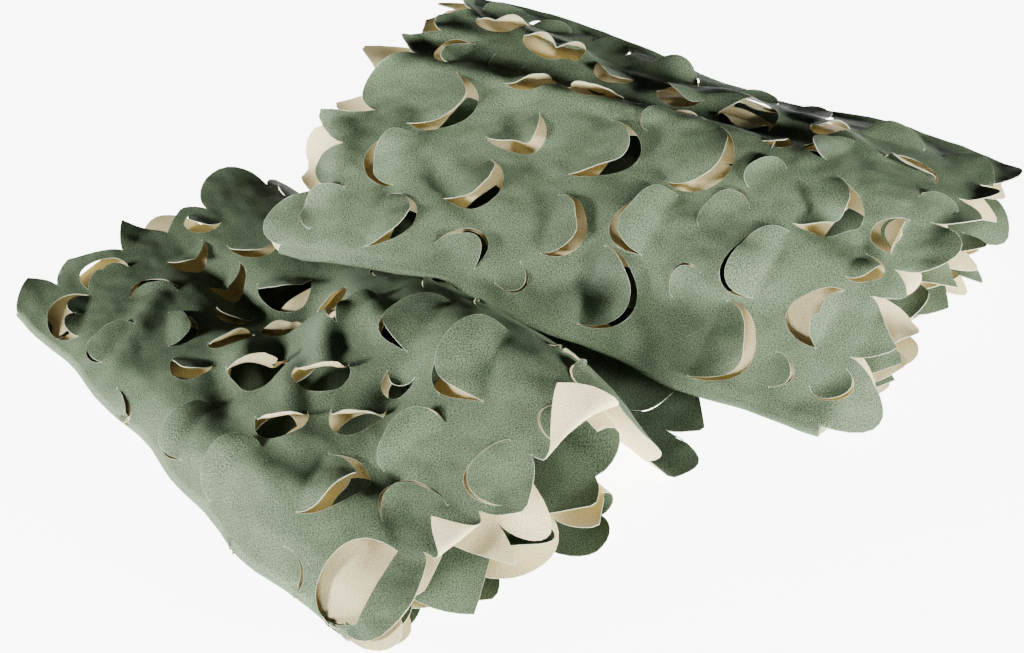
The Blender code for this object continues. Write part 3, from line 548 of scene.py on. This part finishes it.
def cubic_weights(t):
    """Weights of four neighbours in a row for a point between the middle two."""
    return np.stack([-0.5 * t + t**2 - 0.5 * t**3, 1 - 2.5 * t**2 + 1.5 * t**3,
                     0.5 * t + 2 * t**2 - 1.5 * t**3, -0.5 * t**2 + 0.5 * t**3])


def place(s, u):
    """Mid-surface points at flat coordinates s (across the folds) and u (along them)."""
    i = np.interp(s, COLUMNS, np.arange(len(COLUMNS)))
    j = np.clip((u - ROWS[0]) / ROW_STEP, 0, len(ROWS) - 1.0)
    i0 = np.minimum(i.astype(int), len(COLUMNS) - 2)
    j0 = np.minimum(j.astype(int), len(ROWS) - 2)
    wi, wj = cubic_weights(i - i0), cubic_weights(j - j0)
    total = np.zeros((len(i), 3))
    for a in range(4):
        for b in range(4):
            column = np.clip(i0 + a - 1, 0, len(COLUMNS) - 1)
            row = np.clip(j0 + b - 1, 0, len(ROWS) - 1)
            total += (wi[a] * wj[b])[:, None] * GRID[column, row]
    return total


def frame_at(s, u):
    """Unit tangents across and along the folds, and the face's normal."""
    d = 0.4 * MM
    across = place(s + d, u) - place(s - d, u)
    along = place(s, u + d) - place(s, u - d)
    across /= np.linalg.norm(across, axis=1)[:, None]
    along /= np.linalg.norm(along, axis=1)[:, None]
    normal = np.cross(across, along)
    return across, along, normal / np.linalg.norm(normal, axis=1)[:, None]


def tip_bounds(name, count, seed):
    """Where one layer's leaf tips begin and end along its edge: uneven widths."""
    start, stop = SPANS[name]
    width = 1 + 0.3 * np.sin(2.1 * np.arange(count) + seed)
    return start + (stop - start) * np.concatenate([[0], np.cumsum(width)]) / width.sum()


def end_reach(s, end):
    """How far the cloth reaches past its nominal end at flat position s."""
    reach = np.full_like(s, NOTCH)
    for name, which, tips, curls in ENDS:
        if which != end:
            continue
        bounds = tip_bounds(name, len(tips), tips[0])
        padded = [tips[0], *tips, tips[-1]]
        pairs = zip(padded[:-1], padded[1:])
        notches = [min(min(pair) * MM - NOTCH_DEPTH, NOTCH) for pair in pairs]
        for index in np.flatnonzero(np.array(curls) > FLIP):
            notches[index] -= FLIP_NOTCH
            notches[index + 1] -= FLIP_NOTCH
        for index, tip in enumerate(tips):
            middle = (bounds[index] + bounds[index + 1]) / 2
            half = (bounds[index + 1] - bounds[index]) / 2
            lean = 0.4 * math.sin(3.7 * index + tip)
            x = (s - middle) / half
            x = np.clip(x + lean * (1 - x * x), -1, 1)
            full = (1 - np.abs(x)**2.4)**0.55
            pointed = (1 - np.abs(x))**0.7
            share = 0.5 + 0.5 * math.sin(1.9 * index + tip)
            shape = full * share + pointed * (1 - share)
            notch = np.interp(s, bounds[index:index + 2], notches[index:index + 2])
            inside = (s > bounds[index]) & (s < bounds[index + 1])
            reach = np.where(inside, notch + (tip * MM - notch) * shape, reach)
    return reach


def end_columns(per_tip, end):
    """Flat positions that draw every leaf tip of one end."""
    columns = []
    for name, which, tips, curls in ENDS:
        if which != end:
            continue
        bounds = tip_bounds(name, len(tips), tips[0])
        for index in range(len(tips)):
            steps = 2 * per_tip if curls[index] > FLIP else per_tip
            share = 0.5 - 0.5 * np.cos(np.linspace(0, math.pi, steps + 1)[:-1])
            columns.extend(bounds[index] + (bounds[index + 1] - bounds[index]) * share)
        columns.append(bounds[-1])
    return columns


def leaf_shape(cut, points):
    """Flat outlines of one cut, the cloth's edge and the leaf's, with the leaf's hinge."""
    name, s, u, heading, radius, gap, lift = cut
    centre = np.array([SPANS[name][0] + s * MM, u * MM])
    turn = math.radians(heading)
    along = np.array([math.cos(turn), math.sin(turn)])
    side = np.array([-along[1], along[0]])
    spread = SLIT_SPREAD if gap < SLIT_GAP else LOW_SPREAD
    if lift > STANDING:
        spread = ARCH_SPREAD if lift < TURNED else HIGH_SPREAD
    angle = np.linspace(-spread, spread, points + TURNED_STEPS if lift >= TURNED else points)
    across, up = np.cos(angle), np.sin(angle)
    wobble = 1 + 0.05 * np.sin(3 * angle + radius) - 0.06 * (1 - np.cos(2 * angle + s))
    outer_r = radius * MM * wobble
    share = np.clip(np.cos(angle * math.pi / (2 * spread)), 0, 1)**0.95
    inner_r = outer_r - gap * MM * share
    outer = centre + np.outer(outer_r * across, along) + np.outer(outer_r * up, side)
    inner = centre + np.outer(inner_r * across, along) + np.outer(inner_r * up, side)
    if gap >= radius:
        inner = np.linspace(outer[0], outer[-1], len(angle))
    neck = radius * MM * math.cos(spread) * wobble[0]
    return outer, inner[1:-1], centre + along * neck, along, side


def inside_polygon(points, polygon):
    """True for each point inside a closed polygon."""
    x, y = points[:, 0], points[:, 1]
    inside = np.zeros(len(points), bool)
    for (ax, ay), (bx, by) in zip(polygon, np.roll(polygon, -1, axis=0)):
        if ay != by:
            inside ^= ((ay > y) != (by > y)) & (x < ax + (y - ay) * (bx - ax) / (by - ay))
    return inside


def indices_inside(points, polygon):
    """Indices of the points inside a closed polygon, found among those in its box."""
    in_box = (points > polygon.min(axis=0)) & (points < polygon.max(axis=0))
    near = np.flatnonzero(np.all(in_box, axis=1))
    return near[inside_polygon(points[near], polygon)] if len(near) else near


def outline_edge(end, columns):
    """One ragged end of the sheet, drawn with many points a leaf tip."""
    s = np.unique(np.round(np.concatenate([end_columns(TIP_STEPS, end), columns]), 7))
    keep = np.ones(len(s), bool)
    for i in range(1, len(s)):
        if s[i] - s[i - 1] < LEAST_STEP:
            keep[i - 1 if s[i] in columns else i] = False
    s = s[keep]
    reach = end_reach(s, end)
    return np.column_stack([s, -reach if end == "tail" else NET_WIDTH + reach])


def hollow_cuts():
    """Openings in the layer below, behind every second leaf, that let its gap look deep."""
    taken = [(cut[0], cut[1], cut[2], cut[4]) for cut in CUTS]
    hollows = []
    for name, s, u, turn, radius, _, _ in CUTS[::2]:
        if name not in UNDER:
            continue
        below, meet = UNDER[name]
        size = HOLLOW_SIZE * radius
        x = meet - s - 0.5 * radius * math.cos(math.radians(turn))
        y = u + 0.5 * radius * math.sin(math.radians(turn))
        beside = [row[1:] for row in taken if row[0] == below]
        room = all(math.hypot(x - a, y - b) > size + r + SLIT_MARGIN for a, b, r in beside)
        edge = size + HOLLOW_EDGE
        if room and min(x, y, NET_WIDTH / MM - y) > edge and x < meet - edge:
            taken.append((below, x, y, size))
            hollows.append((below, x, y, 180 - turn, size, size, 0))
    return hollows


def in_valley(name, s, u):
    """Whether a slit lies in the lower pack's valley."""
    layer, low_s, high_s, low_u, high_u = VALLEY
    return name == layer and low_s < s < high_s and low_u < u < high_u


def slit_cuts():
    """Narrow leaf cuts wherever the listed bands still have room for them."""
    rng = np.random.default_rng(5)
    taken = [(SPANS[cut[0]][0] / MM + cut[1], cut[2], cut[4]) for cut in CUTS]
    slits = []
    for name, low, high, lift, headings in SLIT_BANDS:
        start = SPANS[name][0] / MM
        for radius in SLIT_RADII:
            first, last = radius + SLIT_EDGE, NET_WIDTH / MM - radius - SLIT_EDGE
            spots = [(s, u) for s in np.arange(low + radius, high - radius, SLIT_PITCH)
                     for u in np.arange(first, last, SLIT_PITCH)]
            for s, u in spots:
                x = s + rng.uniform(-SLIT_SHIFT, SLIT_SHIFT)
                y = min(max(u + rng.uniform(-SLIT_SHIFT, SLIT_SHIFT), first), last)
                turn = rng.choice(headings) + rng.uniform(-SLIT_TURN, SLIT_TURN)
                gap = min(rng.choice(SLIT_GAPS), SLIT_OPEN * lift) * radius / SLIT_SIZE
                rise = lift * rng.uniform(0.5, 1.5)
                if in_valley(name, x, y):
                    turn, gap, rise = VALLEY_HEADING + 8 * gap, VALLEY_GAP, VALLEY_LIFT
                reach = radius + SLIT_MARGIN
                if all(math.hypot(start + x - a, y - b) > reach + r for a, b, r in taken):
                    taken.append((start + x, y, radius))
                    slits.append((name, x, y, turn, radius, gap, rise))
    return slits


class Pattern:
    """The flat sheet's points with the leaf that owns each, its joining edges and its holes."""

    def __init__(self):
        self.points = []
        self.edges = []
        self.owner = []
        self.holes = []

    def add(self, batch, owners):
        start = len(self.points)
        self.points.extend(batch)
        self.owner.extend(owners)
        return start

    def add_ring(self, ring, owners):
        start = self.add(ring, owners)
        count = len(ring)
        self.edges.extend((start + i, start + (i + 1) % count) for i in range(count))

    def clear(self, batch, tree, distance):
        """True for points that keep a distance from those in the tree, outside every hole."""
        keep = np.array([tree.find((x, y, 0.0))[2] > distance for x, y in batch])
        for ring in self.holes:
            keep[indices_inside(batch, ring)] = False
        return keep


def point_tree(points):
    """A search tree over flat points."""
    tree = kdtree.KDTree(len(points))
    for index, (x, y) in enumerate(points):
        tree.insert((x, y, 0.0), index)
    tree.balance()
    return tree


def inset_ring(ring, outward):
    """Points just inside the cloth beside each point of an outline."""
    ahead = np.roll(ring, -1, axis=0) - np.roll(ring, 1, axis=0)
    normal = np.column_stack([ahead[:, 1], -ahead[:, 0]])
    normal /= np.maximum(np.linalg.norm(normal, axis=1), 1e-9)[:, None]
    x, y = ring[:, 0], ring[:, 1]
    area = np.sum(x * np.roll(y, -1) - y * np.roll(x, -1))
    side = math.copysign(1.0, area) * (1.0 if outward else -1.0)
    return ring + normal * side * EDGE_LINE


def lattice(start, stop, low, high, pitch):
    """A staggered lattice over part of a layer."""
    across = max(2, round((stop - start) / (pitch * 0.87)))
    along = max(2, round((high - low) / pitch))
    i, j = np.meshgrid(np.arange(1, across), np.arange(along), indexing="ij")
    s = start + (stop - start) * i / across
    u = low + (high - low) * (j + 0.25 + 0.5 * (i % 2)) / along
    return np.column_stack([s.ravel(), u.ravel()])


def flat_sheet():
    """The sheet laid flat: its points and triangles, which leaf each point belongs to, whether
    it lies on a cut edge, and the hinge of each leaf."""
    columns = []
    for name, (start, stop) in SPANS.items():
        steps = FOLD_STEPS if name.startswith("after") else 1
        columns.extend(np.linspace(start, stop, steps + 1))
    columns = np.unique(np.round(columns, 7))
    tail, head = outline_edge("tail", columns), outline_edge("head", columns)
    rows = np.arange(ROW_PITCH / 2, NET_WIDTH, ROW_PITCH)
    free = np.column_stack([np.full(len(rows), columns[-1]), rows])
    hidden = np.column_stack([np.full(len(rows), columns[0]), rows[::-1]])
    border = np.vstack([tail, free, head[::-1], hidden])
    sheet = Pattern()
    sheet.add_ring(border, [-1] * len(border))
    hinges, leaves = [], []
    for index, cut in enumerate(CUTS):
        steps = max(LEAST_LEAF_STEPS, round(LEAF_STEPS * cut[4]))
        outer, inner, neck, along, side = leaf_shape(cut, steps)
        ring = np.vstack([outer, inner[::-1]])
        sheet.add_ring(ring, [-1] * len(outer) + [index] * len(inner))
        sheet.holes.append(ring)
        leaves.append(np.vstack([outer[:1], inner, outer[-1:]]))
        hinges.append((neck, along, side))
    edge_count = len(sheet.points)
    tree = point_tree(sheet.points)
    for index, ring in enumerate([border, *sheet.holes]):
        batch, mine = inset_ring(ring, index > 0), np.full(len(ring), -1)
        if index:
            mine[inside_polygon(batch, leaves[index - 1])] = index - 1
        clear = sheet.clear(batch, tree, 0.9 * EDGE_LINE) & inside_polygon(batch, border)
        sheet.add(batch[clear], list(mine[clear]))
    for position in columns[1:-1]:
        batch = np.column_stack([np.full(len(rows), position), rows])
        first = sheet.add(batch, [-1] * len(batch))
        bottom = np.flatnonzero(np.isclose(tail[:, 0], position))[0]
        from_last = np.flatnonzero(np.isclose(head[:, 0], position))[0]
        top = len(tail) + len(rows) + len(head) - 1 - from_last
        chain = [bottom, *range(first, first + len(rows)), top]
        sheet.edges.extend(zip(chain[:-1], chain[1:]))
    tree = point_tree(sheet.points)
    for name, pitch in LAYER_PITCH.items():
        start, stop = SPANS[name]
        fine = min(pitch, END_PITCH)
        bands = [(-MARGIN, END_BAND, fine), (END_BAND, NET_WIDTH - END_BAND, pitch),
                 (NET_WIDTH - END_BAND, NET_WIDTH + MARGIN, fine)]
        for low, high, step in bands:
            batch = lattice(start, stop, low, high, step * MM)
            batch = batch[inside_polygon(batch, border)]
            batch = batch[sheet.clear(batch, tree, step * MM * LATTICE_CLEAR)]
            owner = np.full(len(batch), -1)
            for index, leaf in enumerate(leaves):
                owner[indices_inside(batch, leaf)] = index
            sheet.add(batch, list(owner))

    result = delaunay_2d_cdt([Vector(p) for p in sheet.points], sheet.edges, [], 0, 1e-7)
    points = np.array([tuple(p) for p in result[0]])
    faces = np.array(result[2])
    owner = np.array([sheet.owner[source[0]] if source else -1 for source in result[3]])
    at_edge = np.array([bool(source) and source[0] < edge_count for source in result[3]])
    middle = points[faces].mean(axis=1)
    keep = inside_polygon(middle, border)
    for ring in sheet.holes:
        keep[indices_inside(middle, ring)] = False
    faces = faces[keep]
    used = np.unique(faces)
    number = np.full(len(points), -1)
    number[used] = np.arange(len(used))
    return points[used], number[faces], owner[used], at_edge[used], hinges


def layer_of(s):
    """The layer, counted from the bottom, at each flat position across the folds."""
    return np.clip(np.searchsorted(LAYER_STARTS, s, side="right") - 1, 0, len(LAYERS) - 1)


def lift_leaves(flat, owner, hinges):
    """Mid-surface points of the folded sheet, its leaves lifted and its tips curled. A point of
    a leaf stands a reach ahead of its foot on the hinge line, along the leaf's heading."""
    foot = flat.copy()
    reach = np.zeros(len(flat))
    lateral = np.zeros(len(flat))
    heading = np.zeros((len(flat), 2))
    turn = np.zeros(len(flat))
    bowl = np.zeros(len(flat))
    twist = np.zeros(len(flat))
    dome = np.zeros(len(flat))
    for index, (neck, along, side) in enumerate(hinges):
        gap, lift = CUTS[index][5:]
        mine = np.flatnonzero(owner == index)
        offset = flat[mine] - neck
        reach[mine] = np.maximum(offset @ along, 0)
        lateral[mine] = offset @ side
        foot[mine] = flat[mine] - np.outer(reach[mine], along)
        heading[mine] = along
        turn[mine] = math.radians(lift)
        bowl[mine] = BOWL * math.sin(2.4 * index)
        if lift < STANDING and gap >= SLIT_GAP:
            size = CUTS[index][4] * MM
            share = np.clip(reach[mine] / (size * (1 - math.cos(LOW_SPREAD))), 0, 1)
            flank = 1 - 0.6 * (lateral[mine] / size)**2
            dome[mine] = size * DOME * np.sin(math.pi * share**0.8) * flank
    for name, end, tips, curls in ENDS:
        sign, limit = (-1.0, -NOTCH) if end == "tail" else (1.0, NET_WIDTH + NOTCH)
        bounds = tip_bounds(name, len(tips), tips[0])
        past = (flat[:, 1] - limit) * sign
        on_layer = (flat[:, 0] > bounds[0]) & (flat[:, 0] < bounds[-1])
        mine = np.flatnonzero((past > 0) & (owner < 0) & on_layer)
        tip = np.searchsorted(bounds, flat[mine, 0], side="right") - 1
        share = (flat[mine, 0] - bounds[tip]) / (bounds[tip + 1] - bounds[tip])
        foot[mine, 1] = limit
        reach[mine] = past[mine]
        heading[mine] = (0.0, sign)
        turn[mine] = np.radians(np.array(curls, float)[tip])
        twist[mine] = TIP_TWIST * np.sin(2.3 * tip + tips[0]) * (share - 0.5)
    base = place(foot[:, 0], foot[:, 1])
    across, along, normal = frame_at(foot[:, 0], foot[:, 1])
    forward = across * heading[:, :1] + along * heading[:, 1:]
    low = turn < math.radians(STANDING)
    radius = np.where(low, SLOPE, np.where(turn < math.radians(TURNED), ARCH, ROLL))
    sense = np.sign(turn)
    turn = np.abs(turn)
    bend = np.minimum(reach / radius, turn)
    rest = reach - bend * radius
    ahead = radius * np.sin(bend) + rest * np.cos(bend)
    rise = radius * (1 - np.cos(bend)) + rest * np.sin(bend)
    rise = rise * sense + twist * reach + dome
    cup = bowl * lateral**2 * np.minimum(reach / BOWL_FULL, 1.0)
    rise += np.where(low, cup, 0.0)
    face = np.where(np.isin(layer_of(foot[:, 0]), GREEN_UP), 1.0, -1.0)
    lifted = base + forward * ahead[:, None] + normal * (rise * face)[:, None]
    return np.where((reach > 0)[:, None], lifted, base)


def point_normals(points, faces):
    """Normals of the points, weighted by the area of the faces round them."""
    corner = points[faces]
    area = np.cross(corner[:, 1] - corner[:, 0], corner[:, 2] - corner[:, 0])
    normals = np.zeros_like(points)
    for k in range(3):
        np.add.at(normals, faces[:, k], area)
    return normals / np.linalg.norm(normals, axis=1)[:, None]


def rumple(flat):
    """Soft unevenness along the normal, in mm: long ripples and a finer crumple."""
    rng = np.random.default_rng(11)
    total = np.zeros(len(flat))
    for wave, height in RUMPLE_WAVES:
        for _ in range(RUMPLE_HEADINGS):
            angle = rng.uniform(0, math.pi)
            phase = rng.uniform(0, 2 * math.pi, 2)
            ahead = np.array([math.cos(angle), math.sin(angle)])
            aside = np.array([-math.sin(angle), math.cos(angle)])
            run = flat @ ahead * 2 * math.pi / (wave * MM)
            cross = flat @ aside * 2 * math.pi / (wave * MM * RUMPLE_CREST)
            bent = run + phase[0] + 0.8 * np.sin(cross)
            total += height * 0.5 * np.sin(bent) * np.sin(cross + phase[1])
    return total


def mark_cuts_sharp(mesh, faces, count):
    """Mark sharp the edges that only one face has, which are the cut ones."""
    sides = np.sort(np.vstack([faces[:, [0, 1]], faces[:, [1, 2]], faces[:, [2, 0]]]), axis=1)
    key, tally = np.unique(sides @ np.array([count, 1]), return_counts=True)
    sharp = mesh.attributes.new("sharp_edge", "BOOLEAN", "EDGE")
    ends = np.empty(len(mesh.edges) * 2, dtype=np.int32)
    mesh.edges.foreach_get("vertices", ends)
    mine = np.sort(ends.reshape(-1, 2).astype(np.int64), axis=1) @ np.array([count, 1])
    sharp.data.foreach_set("value", np.isin(mine, key[tally == 1]))


def build_net(materials):
    """The whole net: one thin sheet, green on its face, sand on its reverse, pale at its cuts."""
    flat, faces, owner, at_edge, hinges = flat_sheet()
    points = lift_leaves(flat, owner, hinges)
    layer = layer_of(flat[:, 0])
    loose = np.array([RUMPLE[row[0]] for row in LAYERS])[layer]
    shift = np.where(loose >= 1.0, RUMPLE_SHIFT, 0.0)
    points += point_normals(points, faces) * ((rumple(flat) * loose + shift) * MM)[:, None]
    points[:, 2] = np.maximum(points[:, 2], CLOTH / 2)
    points[:, :2] -= CENTRE
    mesh = bpy.data.meshes.new("camouflage_net_cloth")
    mesh.from_pydata(points, [], faces)
    mesh.polygons.foreach_set("use_smooth", np.ones(len(faces), dtype=bool))
    for material in materials:
        mesh.materials.append(material)
    laid = mesh.uv_layers.new(name="flat")
    laid.data.foreach_set("uv", flat[faces.ravel()].astype(np.float32).ravel())
    edge = mesh.attributes.new("cut_edge", "FLOAT", "POINT")
    edge.data.foreach_set("value", at_edge.astype(np.float32))
    mark_cuts_sharp(mesh, faces, len(points))
    mesh.update()
    net = new_object("net_cloth", mesh)
    cloth = net.modifiers.new("cloth thickness", "SOLIDIFY")
    cloth.thickness = CLOTH
    cloth.offset = 0.0
    cloth.material_offset = 1
    cloth.material_offset_rim = 2
    return net


def new_object(name, data):
    thing = bpy.data.objects.new(name, data)
    bpy.context.collection.objects.link(thing)
    return thing


def new_material(name):
    material = bpy.data.materials.new(name)
    material.use_nodes = True
    return material, material.node_tree.nodes["Principled BSDF"]


def add_noise(tree, source, scale, detail=2.0):
    noise = tree.nodes.new("ShaderNodeTexNoise")
    noise.inputs["Scale"].default_value = scale
    noise.inputs["Detail"].default_value = detail
    tree.links.new(source, noise.inputs["Vector"])
    return noise.outputs["Fac"]


def add_math(tree, operation, *terms):
    """One step of arithmetic on numbers and linked outputs."""
    node = tree.nodes.new("ShaderNodeMath")
    node.operation = operation
    for socket, term in zip(node.inputs, terms):
        if isinstance(term, float):
            socket.default_value = term
        else:
            tree.links.new(term, socket)
    return node.outputs[0]


def add_range(tree, value, low, high, to_low, to_high):
    """A linked value, drawn out from one range to another."""
    node = tree.nodes.new("ShaderNodeMapRange")
    node.inputs["From Min"].default_value = low
    node.inputs["From Max"].default_value = high
    node.inputs["To Min"].default_value = to_low
    node.inputs["To Max"].default_value = to_high
    tree.links.new(value, node.inputs["Value"])
    return node.outputs["Result"]


def add_mix(tree, share, first, second):
    """A mix of two colours, each of them plain or linked."""
    mix = tree.nodes.new("ShaderNodeMix")
    mix.data_type = "RGBA"
    tree.links.new(share, mix.inputs["Factor"])
    for name, colour in (("A", first), ("B", second)):
        if isinstance(colour, tuple):
            mix.inputs[name].default_value = (*colour, 1.0)
        else:
            tree.links.new(colour, mix.inputs[name])
    return mix.outputs["Result"]


def weave_group():
    """What both colours of the cloth share: its grain of threads, its mottling and how far a
    point has frayed at a cut edge."""
    group = bpy.data.node_groups.new("weave", "ShaderNodeTree")
    for name in ("Grain", "Mottle", "Edge"):
        group.interface.new_socket(name, in_out="OUTPUT", socket_type="NodeSocketFloat")
    out = group.nodes.new("NodeGroupOutput")
    laid = group.nodes.new("ShaderNodeUVMap")
    laid.uv_map = "flat"
    threads = []
    for scale in THREADS:
        stretch = group.nodes.new("ShaderNodeVectorMath")
        stretch.operation = "MULTIPLY"
        stretch.inputs[1].default_value = scale
        group.links.new(laid.outputs["UV"], stretch.inputs[0])
        threads.append(add_noise(group, stretch.outputs["Vector"], 1.0, 1.0))
    grain = add_math(group, "MULTIPLY", add_math(group, "ADD", *threads), 0.5)
    mottle = add_noise(group, laid.outputs["UV"], 55.0, 3.0)
    edge = group.nodes.new("ShaderNodeAttribute")
    edge.attribute_name = "cut_edge"
    fray = add_noise(group, laid.outputs["UV"], 900.0)
    frayed = add_math(group, "MULTIPLY_ADD", fray, 0.35, edge.outputs["Fac"])
    narrow = add_range(group, frayed, 0.93, 1.18, 0.0, 1.0)
    for name, value in (("Grain", grain), ("Mottle", mottle), ("Edge", narrow)):
        group.links.new(value, out.inputs[name])
    return group


def cloth_material(name, weave_tree, colours, sheen):
    """Satin cloth of one colour with a paler cut edge."""
    dark, light, pale = colours
    material, shader = new_material(name)
    tree = material.node_tree
    weave = tree.nodes.new("ShaderNodeGroup")
    weave.node_tree = weave_tree
    grain = weave.outputs["Grain"]
    threads = add_range(tree, grain, 0.41, 0.59, -0.22, 0.78)
    tone = add_math(tree, "MULTIPLY_ADD", weave.outputs["Mottle"], 0.45, threads)
    colour = add_mix(tree, tone, dark, light)
    edged = add_mix(tree, weave.outputs["Edge"], colour, pale)
    tree.links.new(edged, shader.inputs["Base Color"])
    bump = tree.nodes.new("ShaderNodeBump")
    bump.inputs["Strength"].default_value = 0.5
    bump.inputs["Distance"].default_value = 0.0004
    tree.links.new(grain, bump.inputs["Height"])
    tree.links.new(bump.outputs["Normal"], shader.inputs["Normal"])
    shader.inputs["Roughness"].default_value = 0.7
    shader.inputs["Specular IOR Level"].default_value = 0.2
    shader.inputs["Sheen Weight"].default_value = sheen
    shader.inputs["Sheen Roughness"].default_value = 0.45
    shader.inputs["Sheen Tint"].default_value = (*light, 1.0)
    return material


def edge_material():
    """The bare threads across the cloth's thickness at a cut."""
    material, shader = new_material("frayed_edge")
    shader.inputs["Base Color"].default_value = (*FRAYED, 1.0)
    shader.inputs["Roughness"].default_value = 0.9
    return material


def floor_material():
    """A white floor that looks lit through: brighter to the eye than in the light it gives."""
    material, shader = new_material("floor")
    shader.inputs["Base Color"].default_value = (0.9, 0.9, 0.9, 1.0)
    shader.inputs["Roughness"].default_value = 0.9
    shader.inputs["Emission Color"].default_value = (1.0, 1.0, 1.0, 1.0)
    tree = material.node_tree
    seen = tree.nodes.new("ShaderNodeLightPath").outputs["Is Camera Ray"]
    glow = add_math(tree, "MULTIPLY_ADD", seen, FLOOR_SEEN - FLOOR_GLOW, FLOOR_GLOW)
    tree.links.new(glow, shader.inputs["Emission Strength"])
    return material


def area_light(name, azimuth, elevation, distance, size, power):
    """A soft box aimed at the net: azimuth 0 is the camera's side, positive to its right."""
    light = bpy.data.lights.new(name, "AREA")
    light.shape = "RECTANGLE"
    light.size, light.size_y = size
    light.energy = power
    lamp = new_object(name, light)
    a, e = math.radians(azimuth), math.radians(elevation)
    spot = Vector((math.sin(a) * math.cos(e), -math.cos(a) * math.cos(e), math.sin(e))) * distance
    lamp.location = spot + TARGET
    lamp.rotation_euler = (-spot).to_track_quat("-Z", "Y").to_euler()
    return lamp


def painted_floor_shade():
    """Painted shade under the net, well inside its outline: dark patches on the ground, one under
    the lower pack, one under the slope and one under the upper pack."""
    material, shader = new_material("painted_floor_shade")
    # painted shade: a near-black colour where the ground lies in the net's shadow
    shader.inputs["Base Color"].default_value = (0.02, 0.02, 0.02, 1.0)
    shader.inputs["Specular IOR Level"].default_value = 0.0
    ends = np.array(SHADE_ENDS)
    near, far = 1 - SHADE_INSET, SHADE_INSET
    corners = []
    for first, last in (("edge", "ridge"), ("ridge", "back 1"), ("front 1", "back 1")):
        start, stop = plan(*fold_line(first, ends)), plan(*fold_line(last, ends))
        low, high = start * near + stop * far, start * far + stop * near
        corners.extend((low[0], low[1], high[1], high[0]))
    points = [(x - CENTRE[0], y - CENTRE[1], SHADE_HEIGHT) for x, y in corners]
    mesh = bpy.data.meshes.new("painted_floor_shade")
    mesh.from_pydata(points, [], [range(first, first + 4) for first in range(0, len(points), 4)])
    mesh.materials.append(material)
    return new_object("painted_floor_shade", mesh)


def build_stage():
    """The floor, its painted shade, the lights and a dim white world."""
    half = FLOOR_HALF
    corners = [(-half, -half, 0), (half, -half, 0), (half, half, 0), (-half, half, 0)]
    floor_mesh = bpy.data.meshes.new("floor")
    floor_mesh.from_pydata(corners, [], [(0, 1, 2, 3)])
    floor_mesh.materials.append(floor_material())
    floor = new_object("floor", floor_mesh)
    painted_floor_shade()
    lamps = [area_light(*row) for row in LIGHTS]
    world = bpy.data.worlds.new("studio")
    bpy.context.scene.world = world
    world.use_nodes = True
    background = world.node_tree.nodes["Background"]
    background.inputs["Color"].default_value = (1.0, 1.0, 1.0, 1.0)
    background.inputs["Strength"].default_value = WORLD


def build_camera():
    """The camera, in front of the net and above it."""
    data = bpy.data.cameras.new("camera")
    data.lens = LENS
    data.sensor_width = 36.0
    camera = new_object("camera", data)
    e = math.radians(CAMERA_ELEVATION)
    back = Vector((0.0, -math.cos(e), math.sin(e)))
    camera.location = TARGET + back * CAMERA_DISTANCE
    camera.rotation_euler = (-back).to_track_quat("-Z", "Y").to_euler()
    bpy.context.scene.camera = camera


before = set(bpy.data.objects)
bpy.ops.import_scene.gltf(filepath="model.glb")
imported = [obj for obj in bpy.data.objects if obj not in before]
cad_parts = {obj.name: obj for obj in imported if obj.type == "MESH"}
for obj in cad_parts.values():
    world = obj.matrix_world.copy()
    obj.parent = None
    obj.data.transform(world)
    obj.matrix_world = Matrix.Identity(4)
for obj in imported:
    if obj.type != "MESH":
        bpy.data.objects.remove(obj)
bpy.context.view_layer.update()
GRID, COLUMNS, ROWS, SPANS = build_grid()
LAYER_STARTS = np.array([SPANS[layer[0]][0] for layer in LAYERS])
CUTS += hollow_cuts()
CUTS += slit_cuts()
weave = weave_group()
green = cloth_material("green_cloth", weave, GREEN, 0.06)
sand = cloth_material("sand_cloth", weave, SAND, 0.04)
net = build_net([green, sand, edge_material()])
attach(net, "root")
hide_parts("camouflage_net")
build_stage()
build_camera()
